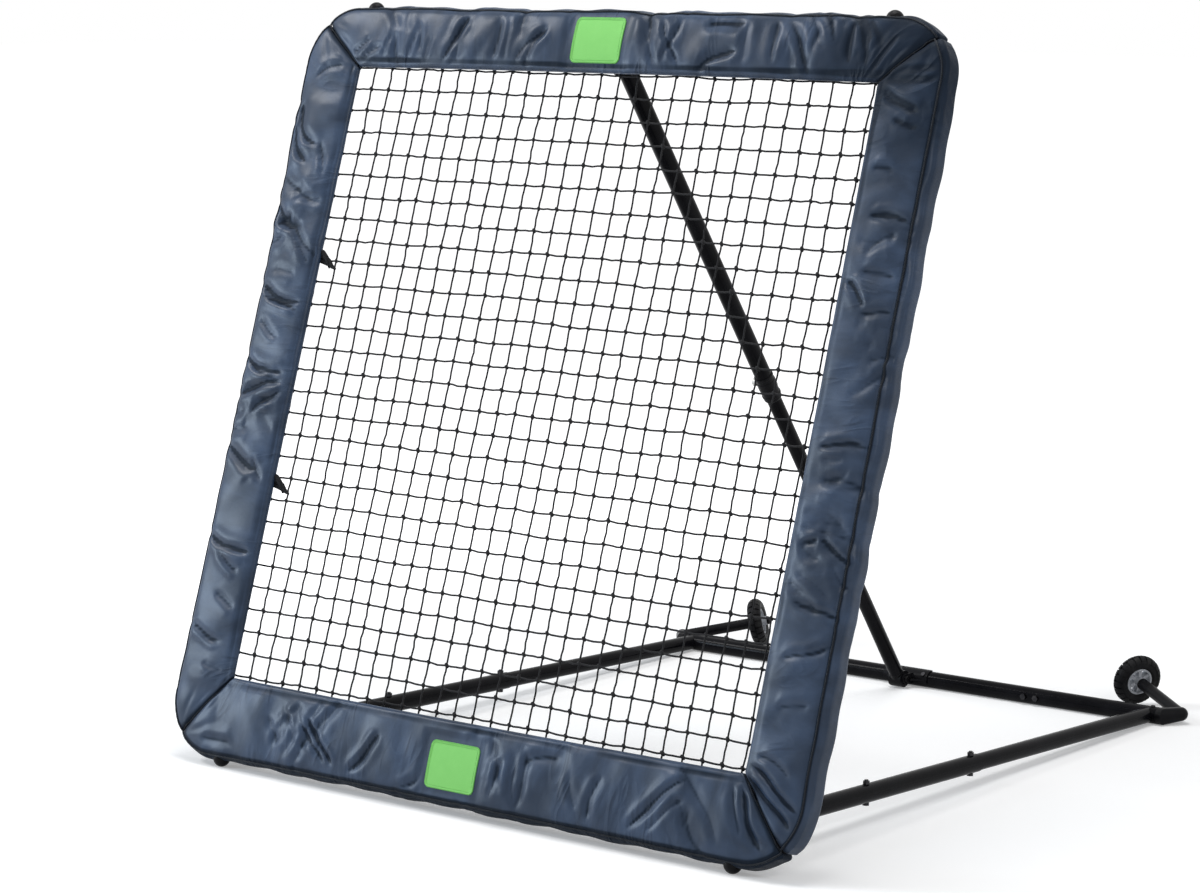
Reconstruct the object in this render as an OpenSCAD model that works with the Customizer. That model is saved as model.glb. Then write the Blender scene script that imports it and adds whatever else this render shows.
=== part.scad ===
// Pitch-back rebounder: a net laced into a padded tube frame that leans on a
// floor base, held at its angle by a telescopic rear strut.
// Millimetres. +Z up, +X to the right, +Y to the back; the floor is z = 0.

/* [Net frame] */
// Width of the net frame between tube axes
frame_w = 1600; // [1400:10:1800]
// Height of the net frame between tube axes, along its own plane
frame_h = 1584; // [1400:2:1800]
// Radius of the corner bends at the tube axis
bend_r = 105; // [100:1:120]
// Angle by which the net frame leans back from upright
lean = 17.9; // [14:0.1:22]
// Outside diameter of the frame tubes
tube_d = 38; // [34:0.5:40]
// Wall of every steel tube
tube_wall = 1.5; // [1.2:0.1:2]
// Distance from the corner bend's start to the end of a side tube's leg
leg_len = 85; // [75:1:100]
// Length of the swaged spigot inside each leg
spigot_len = 70; // [60:1:80]

/* [Feet and hinge] */
// Radius of the foot and corner caps
foot_r = 18; // [17:0.5:18.5]
// Distance of a foot's centre below the bottom tube's axis
foot_drop = 22.3; // [21.5:0.1:24]
// Distance of the feet inside the side tubes' axes
foot_in = 130; // [122:1:136]
// Depth of the flat worn on each foot
foot_flat = 0.5; // [0.3:0.1:1]
// Distance of the frame hinges inside the side tubes' axes
hinge_in = 164; // [160:1:170]
// Height of the hinge pins above the bottom tube's axis, along the frame
hinge_v = 45.5; // [42:0.5:50]
// Distance of the hinge pins behind the frame's plane
hinge_w = 50; // [48:0.5:56]

/* [Base] */
// Length of a base rail from the hinge pin to the crossbar's axis
rail_len = 1515; // [1400:5:1600]
// Distance from the hinge pin to the step between the rail's two tubes
rail_step = 812; // [700:1:900]
// Distance from the hinge pin to the rail's first bolt
rail_bolt_a = 414; // [380:1:500]
// Distance from the hinge pin to the rail's second bolt
rail_bolt_b = 790; // [600:1:792]
// How far the rear rail tube reaches past the first bolt
rail_tail = 34; // [25:1:60]
// Distance from the middle to the crossbar's splices
splice_x = 338; // [300:1:400]
// How far the crossbar reaches past the rails' axes
bar_past = 24; // [20:1:28]
// Distance of the splice bolts from each splice
splice_bolt = 16; // [14:1:20]

/* [Strut] */
// Distance of the strut's top pin below the top tube's axis, along the frame
strut_drop = 75.1; // [66:0.1:120]
// Distance of the strut's top pin behind the frame's plane
strut_w = 50; // [48:0.5:60]
// Distance of the strut's foot pin in front of the crossbar's axis
toe_off = 47; // [46:0.5:56]
// Height of the strut's foot pin
toe_z = 23; // [22:0.5:26]
// Length of the upper strut tube below its pin
upper_len = 877; // [820:1:900]
// Diameter of the lower strut tube
lower_d = 33; // [31:0.5:33]
// Length of the lower tube hidden inside the upper one
overlap = 330; // [300:1:360]
// Length of the clamp collar
collar_len = 66; // [60:1:80]
// Outside diameter of the clamp collar
collar_d = 43; // [42:0.5:48]
// Diameter of the lock screw's knob
knob_d = 18; // [16:0.5:24]

/* [Net and lacing] */
// Width of the gap between the side tubes' axes and the net's rope
lace_gap = 100; // [95:1:105]
// Width of the gap between the top and bottom tubes' axes and the net's rope
lace_gap_v = 92; // [88:1:100]
// Diameter of the net's border rope
rope_d = 8; // [6:0.5:10]
// Cells along each side of the net
net_cells = 17; // [10:1:17]
// Thickness of the net's twine
twine = 3.4; // [3:0.2:5]
// Diameter of the elastic lacing
lace_d = 4; // [3:0.5:5]
// Lacing loops along each side
lace_count = 6; // [6:1:6]
// Half the spread of each lacing loop at the rope
lace_spread = 40; // [20:1:45]

/* [Padding] */
// How far the padding reaches past the tube's axis
pad_over = 26.5; // [25:0.5:30]
// Front of the padding before the tube's axis
pad_front = 26; // [25:0.5:32]
// Back of the padding behind the tube's axis
pad_back = 26; // [25:0.5:28]
// Width of the side pads
band_side = 157; // [150:1:170]
// Width of the top pad
band_top = 134; // [130:1:150]
// Width of the bottom pad
band_bottom = 174; // [160:1:180]
// Height of the crown across the front of a pad
pad_crown = 5; // [2:0.5:6]
// Thickness of the coated cover
cover_t = 1.4; // [1:0.1:2]
// Diameter of the piping round the pads
piping_d = 3; // [2:0.5:4]
// Distance of the piping from the pad's outer edge
piping_in = 7; // [7:0.5:20]
// Width of the tie straps
tie_w = 16; // [12:1:24]
// Distance of the top and bottom pads' ties from the middle
tie_x = 245; // [200:5:300]
// Height of the side pads' lower ties above the bottom tube's axis
tie_low = 574; // [500:1:600]
// Distance of the side pads' upper ties below the top tube's axis
tie_high = 521; // [480:1:580]
// Air between a bracket and the opening for it in the padding
opening = 8; // [6:0.5:10]
// Width of the blank patches
patch_w = 128; // [100:1:150]
// Height of the blank patches
patch_h = 96; // [80:1:105]

/* [Wheels] */
// Diameter of the wheels
wheel_d = 116; // [100:1:118]
// Width of the wheels
wheel_w = 35; // [28:1:38]
// Distance of a wheel's centre inside the crossbar's end
wheel_in = 128; // [115:1:140]
// Distance of a wheel's centre behind the crossbar's axis
wheel_y = 124.8; // [115:0.2:140]
// Height of a wheel's centre
wheel_z = 62.3; // [62:0.1:75]
// Angle of the wheel's axle from the crossbar, seen from above
axle_toe = 28.6; // [24:0.1:33]
// Rise of the wheel's axle towards the middle
axle_rise = 12.2; // [8:0.1:14]
// Radius of the wheel axles
axle_r = 5; // [4:0.5:6]
// Tread blocks round each tyre
lugs = 22; // [14:1:26]

/* [Hidden] */
$fn = 48;
tube_r = tube_d / 2;
bore_r = tube_r - tube_wall;
fit = 0.1;                      // radial play of one tube in another
run = 0.06;                     // radial play of a turning pin
seat = 0.3;                     // air round soft pieces
bolt_r = 4;
pin_r = 5;
play = 0.05;                    // radial play of a bolt
plate = 3;                      // pressed steel brackets
cheek_gap = 1;                  // side play between a tube and its cheeks
foot_x = frame_w / 2 - foot_in;
hinge_x = frame_w / 2 - hinge_in;
bar_end = hinge_x + bar_past;
wheel_x = bar_end - wheel_in;
strut_v = frame_h - strut_drop;
base_z = foot_drop * cos(lean) + foot_r - foot_flat;
bar_z = tube_r;
hinge_y = hinge_v * sin(lean) + hinge_w * cos(lean);
hinge_z = base_z + hinge_v * cos(lean) - hinge_w * sin(lean);
rail_dip = asin((hinge_z - bar_z) / rail_len);
bar_y = hinge_y + rail_len * cos(rail_dip);
rail_r2 = bore_r - fit;
top_y = strut_v * sin(lean) + strut_w * cos(lean);
top_z = base_z + strut_v * cos(lean) - strut_w * sin(lean);
toe_y = bar_y - toe_off;
strut_len = norm([toe_y - top_y, top_z - toe_z]);
strut_ang = atan2(toe_y - top_y, top_z - toe_z);
lower_r = lower_d / 2;
axle_dir = [-cos(axle_rise) * cos(axle_toe), cos(axle_rise) * sin(axle_toe), sin(axle_rise)];
arm_len = 185;                  // wheel centre to the elbow, along the axle
arm_r = 13;
hub_half = wheel_w / 2 + 5;
wheel_r = wheel_d / 2;
net_w = frame_w - 2 * lace_gap;
net_h = frame_h - 2 * lace_gap_v;
corner_r = bend_r + pad_over;
flap = pad_over + 27.5;         // reach of the back flap from the outer edge
board_w = 8;                    // back of the padding's front board
edge_r = 6;                     // rounding of the pads' outer front edge
rim_r = 33;                     // seat of the tyre
tread_r = rim_r + 8;            // centre of the tyre's rounded section
front_y = -(pad_over - piping_in) * sin(lean)
  - piping_w(0) * cos(lean) - piping_d / 2;
tilt_k = sqrt(1 - pow(axle_dir[1], 2));
rear_y = bar_y + wheel_y + tread_r * tilt_k
  + norm([(wheel_r - tread_r) * tilt_k, wheel_w / 2 * axle_dir[1]]);
mid_y = (front_y + rear_y) / 2;

steel = [0.05, 0.05, 0.055];
plastic = [0.09, 0.09, 0.095];
zinc = [0.62, 0.63, 0.65];
navy = [0.10, 0.13, 0.20];
foam_c = [0.82, 0.80, 0.74];
green = [0.30, 0.62, 0.20];

// ---------------------------------------------------------------- frames

// Local x, y = back, z = up the frame, with the bottom tube's axis at 0.
module on_panel() {
  translate([0, 0, base_z]) rotate([-lean, 0, 0]) children();
}

// Local +y runs from the hinge pin back along the rail.
module on_rail() {
  translate([hinge_x, hinge_y, hinge_z]) rotate([-rail_dip, 0, 0]) children();
}

// Local -z runs down the strut from its top pin.
module on_strut() {
  translate([0, top_y, top_z]) rotate([strut_ang, 0, 0]) children();
}

// Local +z runs along the right-hand axle towards the middle.
module on_wheel() {
  translate([wheel_x, bar_y + wheel_y, wheel_z])
    rotate([0, 0, 180 - axle_toe]) rotate([0, 90 - axle_rise, 0]) children();
}

module left() {
  mirror([1, 0, 0]) children();
}

module pair() {
  children();
  left() children();
}

module along_x() {
  rotate([0, 90, 0]) children();
}

module along_y() {
  rotate([-90, 0, 0]) children();
}

// ---------------------------------------------------------------- hardware

module hex(across, h) {
  cylinder(r = across / sqrt(3), h = h, $fn = 6);
}

// Bolt with its head under z = 0 and a nut past its grip.
module bolt(r, grip) {
  head = r * 3.2;
  translate([0, 0, -r * 1.2]) hex(head, r * 1.2);
  cylinder(r = r, h = grip + r * 2.2);
  translate([0, 0, grip]) difference() {
    hex(head, r * 1.6);
    translate([0, 0, -1]) cylinder(r = r + play, h = r * 1.6 + 2);
  }
}

// Straight outline round two circles, as the plate between two bosses.
module link2d(a, ra, b, rb) {
  t = atan2(b[1] - a[1], b[0] - a[0]);
  k = acos((ra - rb) / norm(b - a));
  polygon(concat(arc(a, ra, ra, t + k, t + 360 - k, 13), arc(b, rb, rb, t - k, t + k, 13)));
}

module tube(len, r, wall = tube_wall) {
  difference() {
    cylinder(r = r, h = len);
    translate([0, 0, -1]) cylinder(r = r - wall, h = len + 2);
  }
}

// ---------------------------------------------------------------- net frame

// Side tube of the right-hand side, bent into a leg at each end.
module side_tube() {
  cx = frame_w / 2 - bend_r;
  color(steel) difference() {
    union() {
      translate([frame_w / 2, 0, bend_r]) tube(frame_h - 2 * bend_r, tube_r);
      for (top = [0, 1])
        translate([cx, 0, top ? frame_h - bend_r : bend_r]) {
          rotate([90, 0, 0]) rotate([0, 0, top ? 0 : -90]) rotate_extrude(angle = 90)
            translate([bend_r, 0]) difference() {
              circle(tube_r);
              circle(bore_r);
            }
          translate([-leg_len, 0, top ? bend_r : -bend_r]) along_x() tube(leg_len, tube_r);
        }
    }
    for (z = [0, frame_h])
      translate([foot_x, 0, z - 30]) cylinder(r = bolt_r + play, h = 60);
  }
}

module side_tube_right() {
  on_panel() side_tube();
}

module side_tube_left() {
  on_panel() left() side_tube();
}

// Straight tube between the legs, swaged down to a spigot at each end.
module cross_tube() {
  half = frame_w / 2 - bend_r - leg_len;
  color(steel) difference() {
    union() {
      translate([-half, 0, 0]) along_x() cylinder(r = tube_r, h = 2 * half);
      translate([-half - spigot_len, 0, 0]) along_x()
        cylinder(r = bore_r - fit, h = 2 * (half + spigot_len));
    }
    translate([-half - spigot_len - 1, 0, 0]) along_x()
      cylinder(r = bore_r - fit - tube_wall, h = 2 * (half + spigot_len + 1));
    translate([6 - half, 0, 0]) along_x() cylinder(r = bore_r, h = 2 * half - 12);
    for (x = [-foot_x, foot_x])
      translate([x, 0, -30]) cylinder(r = bolt_r + play, h = 60);
  }
}

module top_tube() {
  on_panel() translate([0, 0, frame_h]) cross_tube();
}

module bottom_tube() {
  on_panel() cross_tube();
}

// Four bolts across the corner spigots, each with its head inside the frame.
module corner_bolts() {
  color(zinc) on_panel() for (x = [-foot_x, foot_x]) {
    translate([x, 0, tube_r]) mirror([0, 0, 1]) corner_bolt();
    translate([x, 0, frame_h - tube_r]) corner_bolt();
  }
}

module corner_bolt() {
  translate([0, 0, -bolt_r * 1.2]) hex(bolt_r * 3.2, bolt_r * 1.2);
  cylinder(r = bolt_r, h = tube_d + 12);
}

// Domed cap with a saddle for the tube and a blind hole for the corner bolt.
module dome() {
  difference() {
    intersection() {
      sphere(foot_r);
      translate([0, 0, -foot_r - 1]) cylinder(r = foot_r + 1, h = foot_r + 9);
    }
    translate([-foot_r - 2, 0, foot_drop]) along_x() cylinder(r = tube_r, h = 2 * foot_r + 4);
    translate([0, 0, foot_drop - tube_r - 12 - play]) cylinder(r = bolt_r + play, h = 40);
  }
}

module foot() {
  color(plastic) difference() {
    on_panel() translate([foot_x, 0, -foot_drop]) dome();
    translate([foot_x - 2 * foot_r, -4 * foot_r, -2 * foot_r])
      cube([4 * foot_r, 8 * foot_r, 2 * foot_r]);
  }
}

module foot_right() {
  foot();
}

module foot_left() {
  left() foot();
}

module corner_caps() {
  color(plastic) on_panel() pair()
    translate([foot_x, 0, frame_h + foot_drop]) mirror([0, 0, 1]) dome();
}

// Pressed bracket: two cheeks round a tube at the origin and a saddle between.
// reach is the pin's place behind and above the tube's axis.
module clevis(reach, gap, boss) {
  difference() {
    union() {
      for (s = [-1, 1])
        translate([s * (gap + plate / 2) - plate / 2, 0, 0])
          rotate([90, 0, 90]) linear_extrude(plate)
            link2d(reach * (9 / norm(reach)), 15, reach, boss);
      translate([-gap - plate, 0, 0]) rotate([90, 0, 90]) linear_extrude(2 * (gap + plate))
        intersection() {
          circle(tube_r + plate);
          translate([6, -8]) square([30, 26]);
        }
    }
    translate([-gap - 10, 0, 0]) along_x() cylinder(r = tube_r, h = 2 * gap + 20);
    translate([-gap - 10, reach[0], reach[1]]) along_x()
      cylinder(r = pin_r + run, h = 2 * gap + 20);
  }
}

module hinge_bracket() {
  color(steel) on_panel() translate([hinge_x, 0, 0])
    clevis([hinge_w, hinge_v], tube_r + cheek_gap, 16);
}

module hinge_bracket_right() {
  hinge_bracket();
}

module hinge_bracket_left() {
  left() hinge_bracket();
}

module strut_bracket() {
  color(steel) on_panel() translate([0, 0, frame_h]) mirror([0, 0, 1])
    clevis([strut_w, frame_h - strut_v], tube_r + cheek_gap, 16);
}

// ---------------------------------------------------------------- net

function lace_at(i, len) = (i - (lace_count - 1) / 2) * len / lace_count;

// The four sides in turn: local x along the side, z from the tube to the net.
module each_side() {
  children(0);
  translate([0, 0, frame_h]) mirror([0, 0, 1]) children(0);
  translate([frame_w / 2, 0, frame_h / 2]) rotate([0, -90, 0]) children(1);
  translate([-frame_w / 2, 0, frame_h / 2]) rotate([0, 90, 0]) children(1);
}

peg_len = 12;

module peg() {
  difference() {
    union() {
      cylinder(r = 3, h = tube_r + peg_len);
      translate([0, 0, tube_r + peg_len - 2.5]) cylinder(r = 4.4, h = 2.5);
    }
    rotate([0, 90, 0]) cylinder(r = tube_r, h = 20, center = true);
  }
}

module lacing_pegs() {
  color(steel) on_panel() each_side() {
    for (i = [0:lace_count - 1]) translate([lace_at(i, net_w), 0, 0]) peg();
    for (i = [0:lace_count - 1]) translate([lace_at(i, net_h), 0, 0]) peg();
  }
}

module loop(big, small) {
  rotate_extrude() translate([big, 0]) circle(small);
}

// One elastic loop: an eye on the peg, two runs and an eye on the rope at each.
module lace(gap) {
  r = lace_d / 2;
  eye_z = tube_r + peg_len - 2.5 - r - 0.2;
  eye_r = 3 + r + 0.2;
  rope_eye = rope_d / 2 + r + 0.2;
  translate([0, 0, eye_z]) loop(eye_r, r);
  for (s = [-1, 1]) {
    a = [s * (eye_r + 1.2), eye_z];
    b = [s * lace_spread, gap - rope_eye];
    translate([a[0], 0, a[1]]) rotate([0, atan2(b[0] - a[0], b[1] - a[1]), 0])
      cylinder(r = r * 0.96, h = norm(b - a));
    translate([b[0], 0, gap]) rotate([0, 90, 0]) loop(rope_eye, r);
  }
}

module net_lacing() {
  color([0.12, 0.12, 0.12]) on_panel() each_side() {
    for (i = [0:lace_count - 1]) translate([lace_at(i, net_w), 0, 0]) lace(lace_gap_v);
    for (i = [0:lace_count - 1]) translate([lace_at(i, net_h), 0, 0]) lace(lace_gap);
  }
}

// Rope round the net, with rounded corners.
module net_rope() {
  turn = 20;
  color([0.08, 0.08, 0.08]) on_panel() translate([0, 0, frame_h / 2]) {
    for (sx = [-1, 1])
      translate([sx * net_w / 2, 0, -net_h / 2 + turn]) cylinder(r = rope_d / 2, h = net_h - 2 * turn);
    for (sz = [-1, 1])
      translate([-net_w / 2 + turn, 0, sz * net_h / 2]) along_x()
        cylinder(r = rope_d / 2, h = net_w - 2 * turn);
    for (q = [0:3]) {
      sx = q == 0 || q == 3 ? 1 : -1;
      sz = q < 2 ? 1 : -1;
      translate([sx * (net_w / 2 - turn), 0, sz * (net_h / 2 - turn)])
        rotate([90, 0, 0]) rotate([0, 0, 90 * q]) rotate_extrude(angle = 90)
          translate([turn, 0]) circle(rope_d / 2);
    }
  }
}

// Square-mesh net in the frame's plane, each strand ending at the rope.
module net() {
  in = rope_d / 2 + seat;
  w = net_w - 2 * in;
  h = net_h - 2 * in;
  color([0.04, 0.04, 0.04]) on_panel() translate([0, twine / 2, frame_h / 2])
    rotate([90, 0, 0]) linear_extrude(twine) for (i = [1:net_cells - 1]) {
      translate([w * (i / net_cells - 0.5) - twine / 2, -h / 2]) square([twine, h]);
      translate([-w / 2, h * (i / net_cells - 0.5) - twine / 2]) square([w, twine]);
    }
}

// ---------------------------------------------------------------- padding

function arc(c, rx, ry, a0, a1, n) =
  [for (k = [0:n]) let (a = a0 + (a1 - a0) * k / n) c + [rx * cos(a), ry * sin(a)]];

function crown(s, band) =
  pad_front - pad_crown * pow((s - band / 2) / (band / 2 - edge_r), 2);

// Section of a pad as [distance from the outer edge, distance to the front].
// The front board, the wall outside the tube and the flap behind it are one
// turned-over shape; in is how far every face is drawn in.
function section(band, in) = let (
    rb = 6, rf = edge_r, re = 7,
    high = crown(band - re, band), mid = (high + board_w) / 2, half = (high - board_w) / 2)
  concat(
    arc([rb, -pad_back + rb], rb - in, rb - in, 180, 270, 3),
    [[flap - in, -pad_back + in], [flap - in, -tube_r - seat - in],
      [pad_over, -tube_r - seat - in], [pad_over, board_w + in]],
    arc([band - re, mid], re - in, half - in, -90, 90, 6),
    [for (k = [1:8]) let (s = band - re - (band - re - rf) * k / 9) [s, crown(s, band) - in]],
    arc([rf, crown(rf, band) - rf], rf - in, rf - in, 90, 180, 4));

// The same section set at a radius about the corner bend's centre.
module section2d(band, in, about = 0) {
  difference() {
    polygon([for (p = section(band, in)) about ? [about - p[0], p[1]] : [-p[1], p[0]]]);
    translate(about ? [about - pad_over, 0] : [0, pad_over]) circle(tube_r + seat + in);
  }
}

// Prism between a pad's two mitre lines, which run from the inner corners to
// the middle of the outer bends.
module mitre(kind, in) {
  half = pad_half(kind);
  band = pad_band(kind);
  c = half - corner_r;
  o = corner_r * (1 - sqrt(0.5));
  da = [-c - corner_r * sqrt(0.5) + half - pad_a(kind), o - band];
  db = [c + corner_r * sqrt(0.5) - half + pad_b(kind), o - band];
  ia = [-half + pad_a(kind) + (in + seat) * norm(da) / abs(da[1]), band];
  ib = [half - pad_b(kind) - (in + seat) * norm(db) / abs(db[1]), band];
  rotate([90, 0, 0]) linear_extrude(100, center = true)
    polygon([ia - 0.08 * da, ia + 1.6 * da, ib + 1.6 * db, ib - 0.08 * db]);
}

// Pad along x with its outer edge at z = 0 and its ends mitred.
module pad(kind, in) {
  half = pad_half(kind);
  band = pad_band(kind);
  c = half - corner_r;
  intersection() {
    union() {
      translate([-c, 0, 0]) rotate([90, 0, 90]) linear_extrude(2 * c) section2d(band, in);
      if (band > corner_r)
        translate([-half, 0, 0]) rotate([90, 0, 90]) linear_extrude(2 * half) intersection() {
          section2d(band, in);
          translate([-60, corner_r]) square([120, band]);
        }
      for (s = [0, 1])
        translate([s ? c : -c, 0, corner_r]) rotate([90, 0, 0]) rotate([0, 0, s ? -90 : 180])
          rotate_extrude(angle = 90) intersection() {
            section2d(band, in, corner_r);
            translate([0, -60]) square([corner_r * 2, 120]);
          }
    }
    mitre(kind, in);
  }
}

function piping_w(kind) = crown(piping_in, pad_band(kind)) + piping_d / 2;

// Piping sewn along the front near the outer edge, round to each mitre.
module piping_run(kind) {
  c = pad_half(kind) - corner_r;
  intersection() {
    union() {
      translate([-c, -piping_w(kind), piping_in]) along_x() cylinder(r = piping_d / 2, h = 2 * c);
      for (s = [0, 1])
        translate([s ? c : -c, -piping_w(kind), corner_r]) rotate([90, 0, 0])
          rotate([0, 0, s ? -90 : 180]) rotate_extrude(angle = 90)
            translate([corner_r - piping_in, 0]) circle(piping_d / 2);
    }
    mitre(kind, 0);
  }
}

module piping() {
  color([0.05, 0.06, 0.08]) on_panel() {
    pad_place(0) piping_run(0);
    pad_place(1) piping_run(1);
    pair() pad_place(2) piping_run(2);
  }
}

// Openings in the pad for a bracket or a corner cap; grow widens them.
module bracket_cut(x, grow) {
  side = tube_r + cheek_gap + plate + opening + grow;
  translate([x - side, -opening + plate - grow, -pad_over])
    cube([2 * side, pad_back + 2 * tube_r, flap + 2 * pad_over]);
}

module cap_cut(x, grow) {
  translate([x, 0, -foot_r]) cylinder(r = foot_r + 2 * seat + grow, h = pad_over + foot_r - 10);
}

// kind 0 is the bottom pad, 1 the top pad and 2 the right-hand pad.
module pad_place(kind) {
  if (kind == 0) translate([0, 0, -pad_over]) children();
  if (kind == 1) translate([0, 0, frame_h + pad_over]) mirror([0, 0, 1]) children();
  if (kind == 2) translate([frame_w / 2 + pad_over, 0, frame_h / 2]) rotate([0, -90, 0]) children();
}

function pad_half(kind) = (kind == 2 ? frame_h : frame_w) / 2 + pad_over;
function pad_band(kind) = [band_bottom, band_top, band_side][kind];
function pad_a(kind) = kind == 2 ? band_bottom : band_side;
function pad_b(kind) = kind == 2 ? band_top : band_side;

module pad_body(kind, in) {
  difference() {
    pad(kind, in);
    if (kind == 0) for (x = [-hinge_x, hinge_x]) bracket_cut(x, in);
    if (kind == 1) bracket_cut(0, in);
    if (kind != 2) for (x = [-foot_x, foot_x]) cap_cut(x, in);
  }
}

module cover(kind) {
  color(navy) pad_place(kind) difference() {
    pad_body(kind, 0);
    pad_body(kind, cover_t);
  }
}

module foam(kind) {
  color(foam_c) pad_place(kind) pad_body(kind, cover_t + 0.2);
}

module cover_bottom() {
  on_panel() cover(0);
}

module cover_top() {
  on_panel() cover(1);
}

module cover_right() {
  on_panel() cover(2);
}

module cover_left() {
  on_panel() left() cover(2);
}

module foam_bottom() {
  on_panel() foam(0);
}

module foam_top() {
  on_panel() foam(1);
}

module foam_right() {
  on_panel() foam(2);
}

module foam_left() {
  on_panel() left() foam(2);
}

// Strap from the end of the back flap to the back of the front board.
module tie(band) {
  a = [tube_r + 5, flap + 1];
  b = [-board_w + 0.3, flap + 42];
  t = 1.2;
  d = b - a;
  m = [d[1], -d[0]] / norm(d) * t;
  k = (b[0] + t - a[0] - m[0]) / d[0];
  translate([-tie_w / 2, 0, 0]) rotate([90, 0, 90]) linear_extrude(tie_w)
    polygon([a, b, b + [0, 12], b + [t, 12], a + m + k * d, a + m]);
}

module pad_ties() {
  at_v = [tie_low - frame_h / 2, frame_h / 2 - tie_high];
  color([0.06, 0.07, 0.10]) on_panel() {
    for (x = [-tie_x, tie_x]) {
      pad_place(0) translate([x, 0, 0]) tie(band_bottom);
      pad_place(1) translate([x, 0, 0]) tie(band_top);
    }
    pair() for (v = at_v) pad_place(2) translate([v, 0, 0]) tie(band_side);
  }
}

// Plain sewn patch that follows the pad's crown.
module patch(kind, x, s0) {
  band = pad_band(kind);
  n = 8;
  up = [for (k = [0:n]) let (s = s0 + patch_h * k / n) [-crown(s, band) - 1.1, s]];
  dn = [for (k = [n:-1:0]) let (s = s0 + patch_h * k / n) [-crown(s, band) - 0.3, s]];
  color(green) pad_place(kind) intersection() {
    translate([x - patch_w / 2, 0, 0]) rotate([90, 0, 90]) linear_extrude(patch_w)
      polygon(concat(up, dn));
    translate([x, 0, s0 + patch_h / 2]) rotate([90, 0, 0]) linear_extrude(120, center = true) {
      square([patch_w, patch_h - 24], center = true);
      square([patch_w - 24, patch_h], center = true);
      for (a = [-1, 1]) for (b = [-1, 1])
        translate([a * (patch_w / 2 - 12), b * (patch_h / 2 - 12)]) circle(12);
    }
  }
}

module patch_top() {
  on_panel() patch(1, -24, pad_over + 39 - patch_h / 2);
}

module patch_bottom() {
  on_panel() patch(0, -23, pad_over + 53 - patch_h / 2);
}

// ---------------------------------------------------------------- base

rail_nose = 25;                 // tube past the hinge pin

module rail_front() {
  color(steel) on_rail() difference() {
    translate([0, -rail_nose, 0]) along_y() tube(rail_step + rail_nose, tube_r);
    translate([-30, 0, 0]) along_x() cylinder(r = pin_r + play, h = 60);
    for (y = [rail_bolt_a, rail_bolt_b])
      translate([0, y, -30]) cylinder(r = bolt_r + play, h = 60);
  }
}

module rail_front_right() {
  rail_front();
}

module rail_front_left() {
  left() rail_front();
}

// Rear rail tube, slid into the front one and coped round the crossbar.
module rail_rear() {
  color(steel) difference() {
    on_rail() difference() {
      translate([0, rail_bolt_a - rail_tail, 0]) along_y()
        tube(rail_len - rail_bolt_a + rail_tail, rail_r2);
      for (y = [rail_bolt_a, rail_bolt_b])
        translate([0, y, -30]) cylinder(r = bolt_r + play, h = 60);
    }
    translate([hinge_x - 40, bar_y, bar_z]) along_x() cylinder(r = tube_r, h = 80);
  }
}

module rail_rear_right() {
  rail_rear();
}

module rail_rear_left() {
  left() rail_rear();
}

// Plastic plugs that close the rails' front ends and guide the hinge pins.
module rail_plugs() {
  color(plastic) pair() on_rail() difference() {
    union() {
      translate([0, -rail_nose, 0]) along_y() cylinder(r = bore_r - play, h = rail_nose + 18);
      translate([0, -rail_nose - 3, 0]) along_y() cylinder(r = tube_r, h = 3);
    }
    translate([-30, 0, 0]) along_x() cylinder(r = pin_r + play, h = 60);
  }
}

// Bolts down through both rail tubes, nuts on top.
module rail_bolts() {
  color(zinc) pair() on_rail() for (y = [rail_bolt_a, rail_bolt_b])
    translate([0, y, -tube_r]) bolt(bolt_r, tube_d);
}

module hinge_bolts() {
  grip = 2 * (tube_r + cheek_gap + plate + 0.2);
  color(zinc) pair() on_rail() translate([-grip / 2, 0, 0]) along_x() bolt(pin_r, grip);
}

module bar_holes(xs, r) {
  for (x = xs)
    translate([x, bar_y - 30, bar_z]) along_y() cylinder(r = r, h = 60);
}

splice_bolts = [splice_x - splice_bolt, splice_x + splice_bolt];

module crossbar_middle() {
  color(steel) difference() {
    translate([-splice_x, bar_y, bar_z]) along_x() tube(2 * splice_x, tube_r);
    bar_holes([-splice_bolts[0], splice_bolts[0]], bolt_r + play);
  }
}

module crossbar_side() {
  color(steel) difference() {
    translate([splice_x, bar_y, bar_z]) along_x() tube(bar_end - splice_x, tube_r);
    bar_holes([splice_bolts[1]], bolt_r + play);
    translate([bar_end - 14, bar_y, bar_z]) cylinder(r = 2.6, h = 40);
  }
}

module crossbar_right() {
  crossbar_side();
}

module crossbar_left() {
  left() crossbar_side();
}

module crossbar_sleeves() {
  color(steel) pair() difference() {
    translate([splice_x - 40, bar_y, bar_z]) along_x() tube(80, bore_r - fit);
    bar_holes(splice_bolts, bolt_r + play);
  }
}

module crossbar_bolts() {
  color(zinc) pair() for (x = splice_bolts)
    translate([x, bar_y - tube_r, bar_z]) along_y() bolt(bolt_r, tube_d);
}

// Moulded elbow: a plug in the crossbar, a head and the arm to the wheel.
module wheel_arm() {
  elbow = [wheel_x, bar_y + wheel_y, wheel_z] - arm_len * axle_dir;
  color(plastic) difference() {
    union() {
      translate([bar_end - 50, bar_y, bar_z]) along_x() cylinder(r = bore_r - fit, h = 52);
      hull() {
        translate([bar_end, bar_y, bar_z]) along_x() cylinder(r = tube_r - 0.2, h = 14, $fn = 32);
        translate(elbow + [6, -3, -1]) sphere(15.5, $fn = 32);
      }
      on_wheel() translate([0, 0, -arm_len]) cylinder(r = arm_r, h = arm_len - hub_half - 0.4);
    }
    on_wheel() translate([0, 0, -hub_half - 60]) cylinder(r = axle_r, h = 80);
    translate([bar_end - 14, bar_y, bar_z + 6]) cylinder(r = 2.5, h = 40);
  }
}

module wheel_arm_right() {
  wheel_arm();
}

module wheel_arm_left() {
  left() wheel_arm();
}

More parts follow.
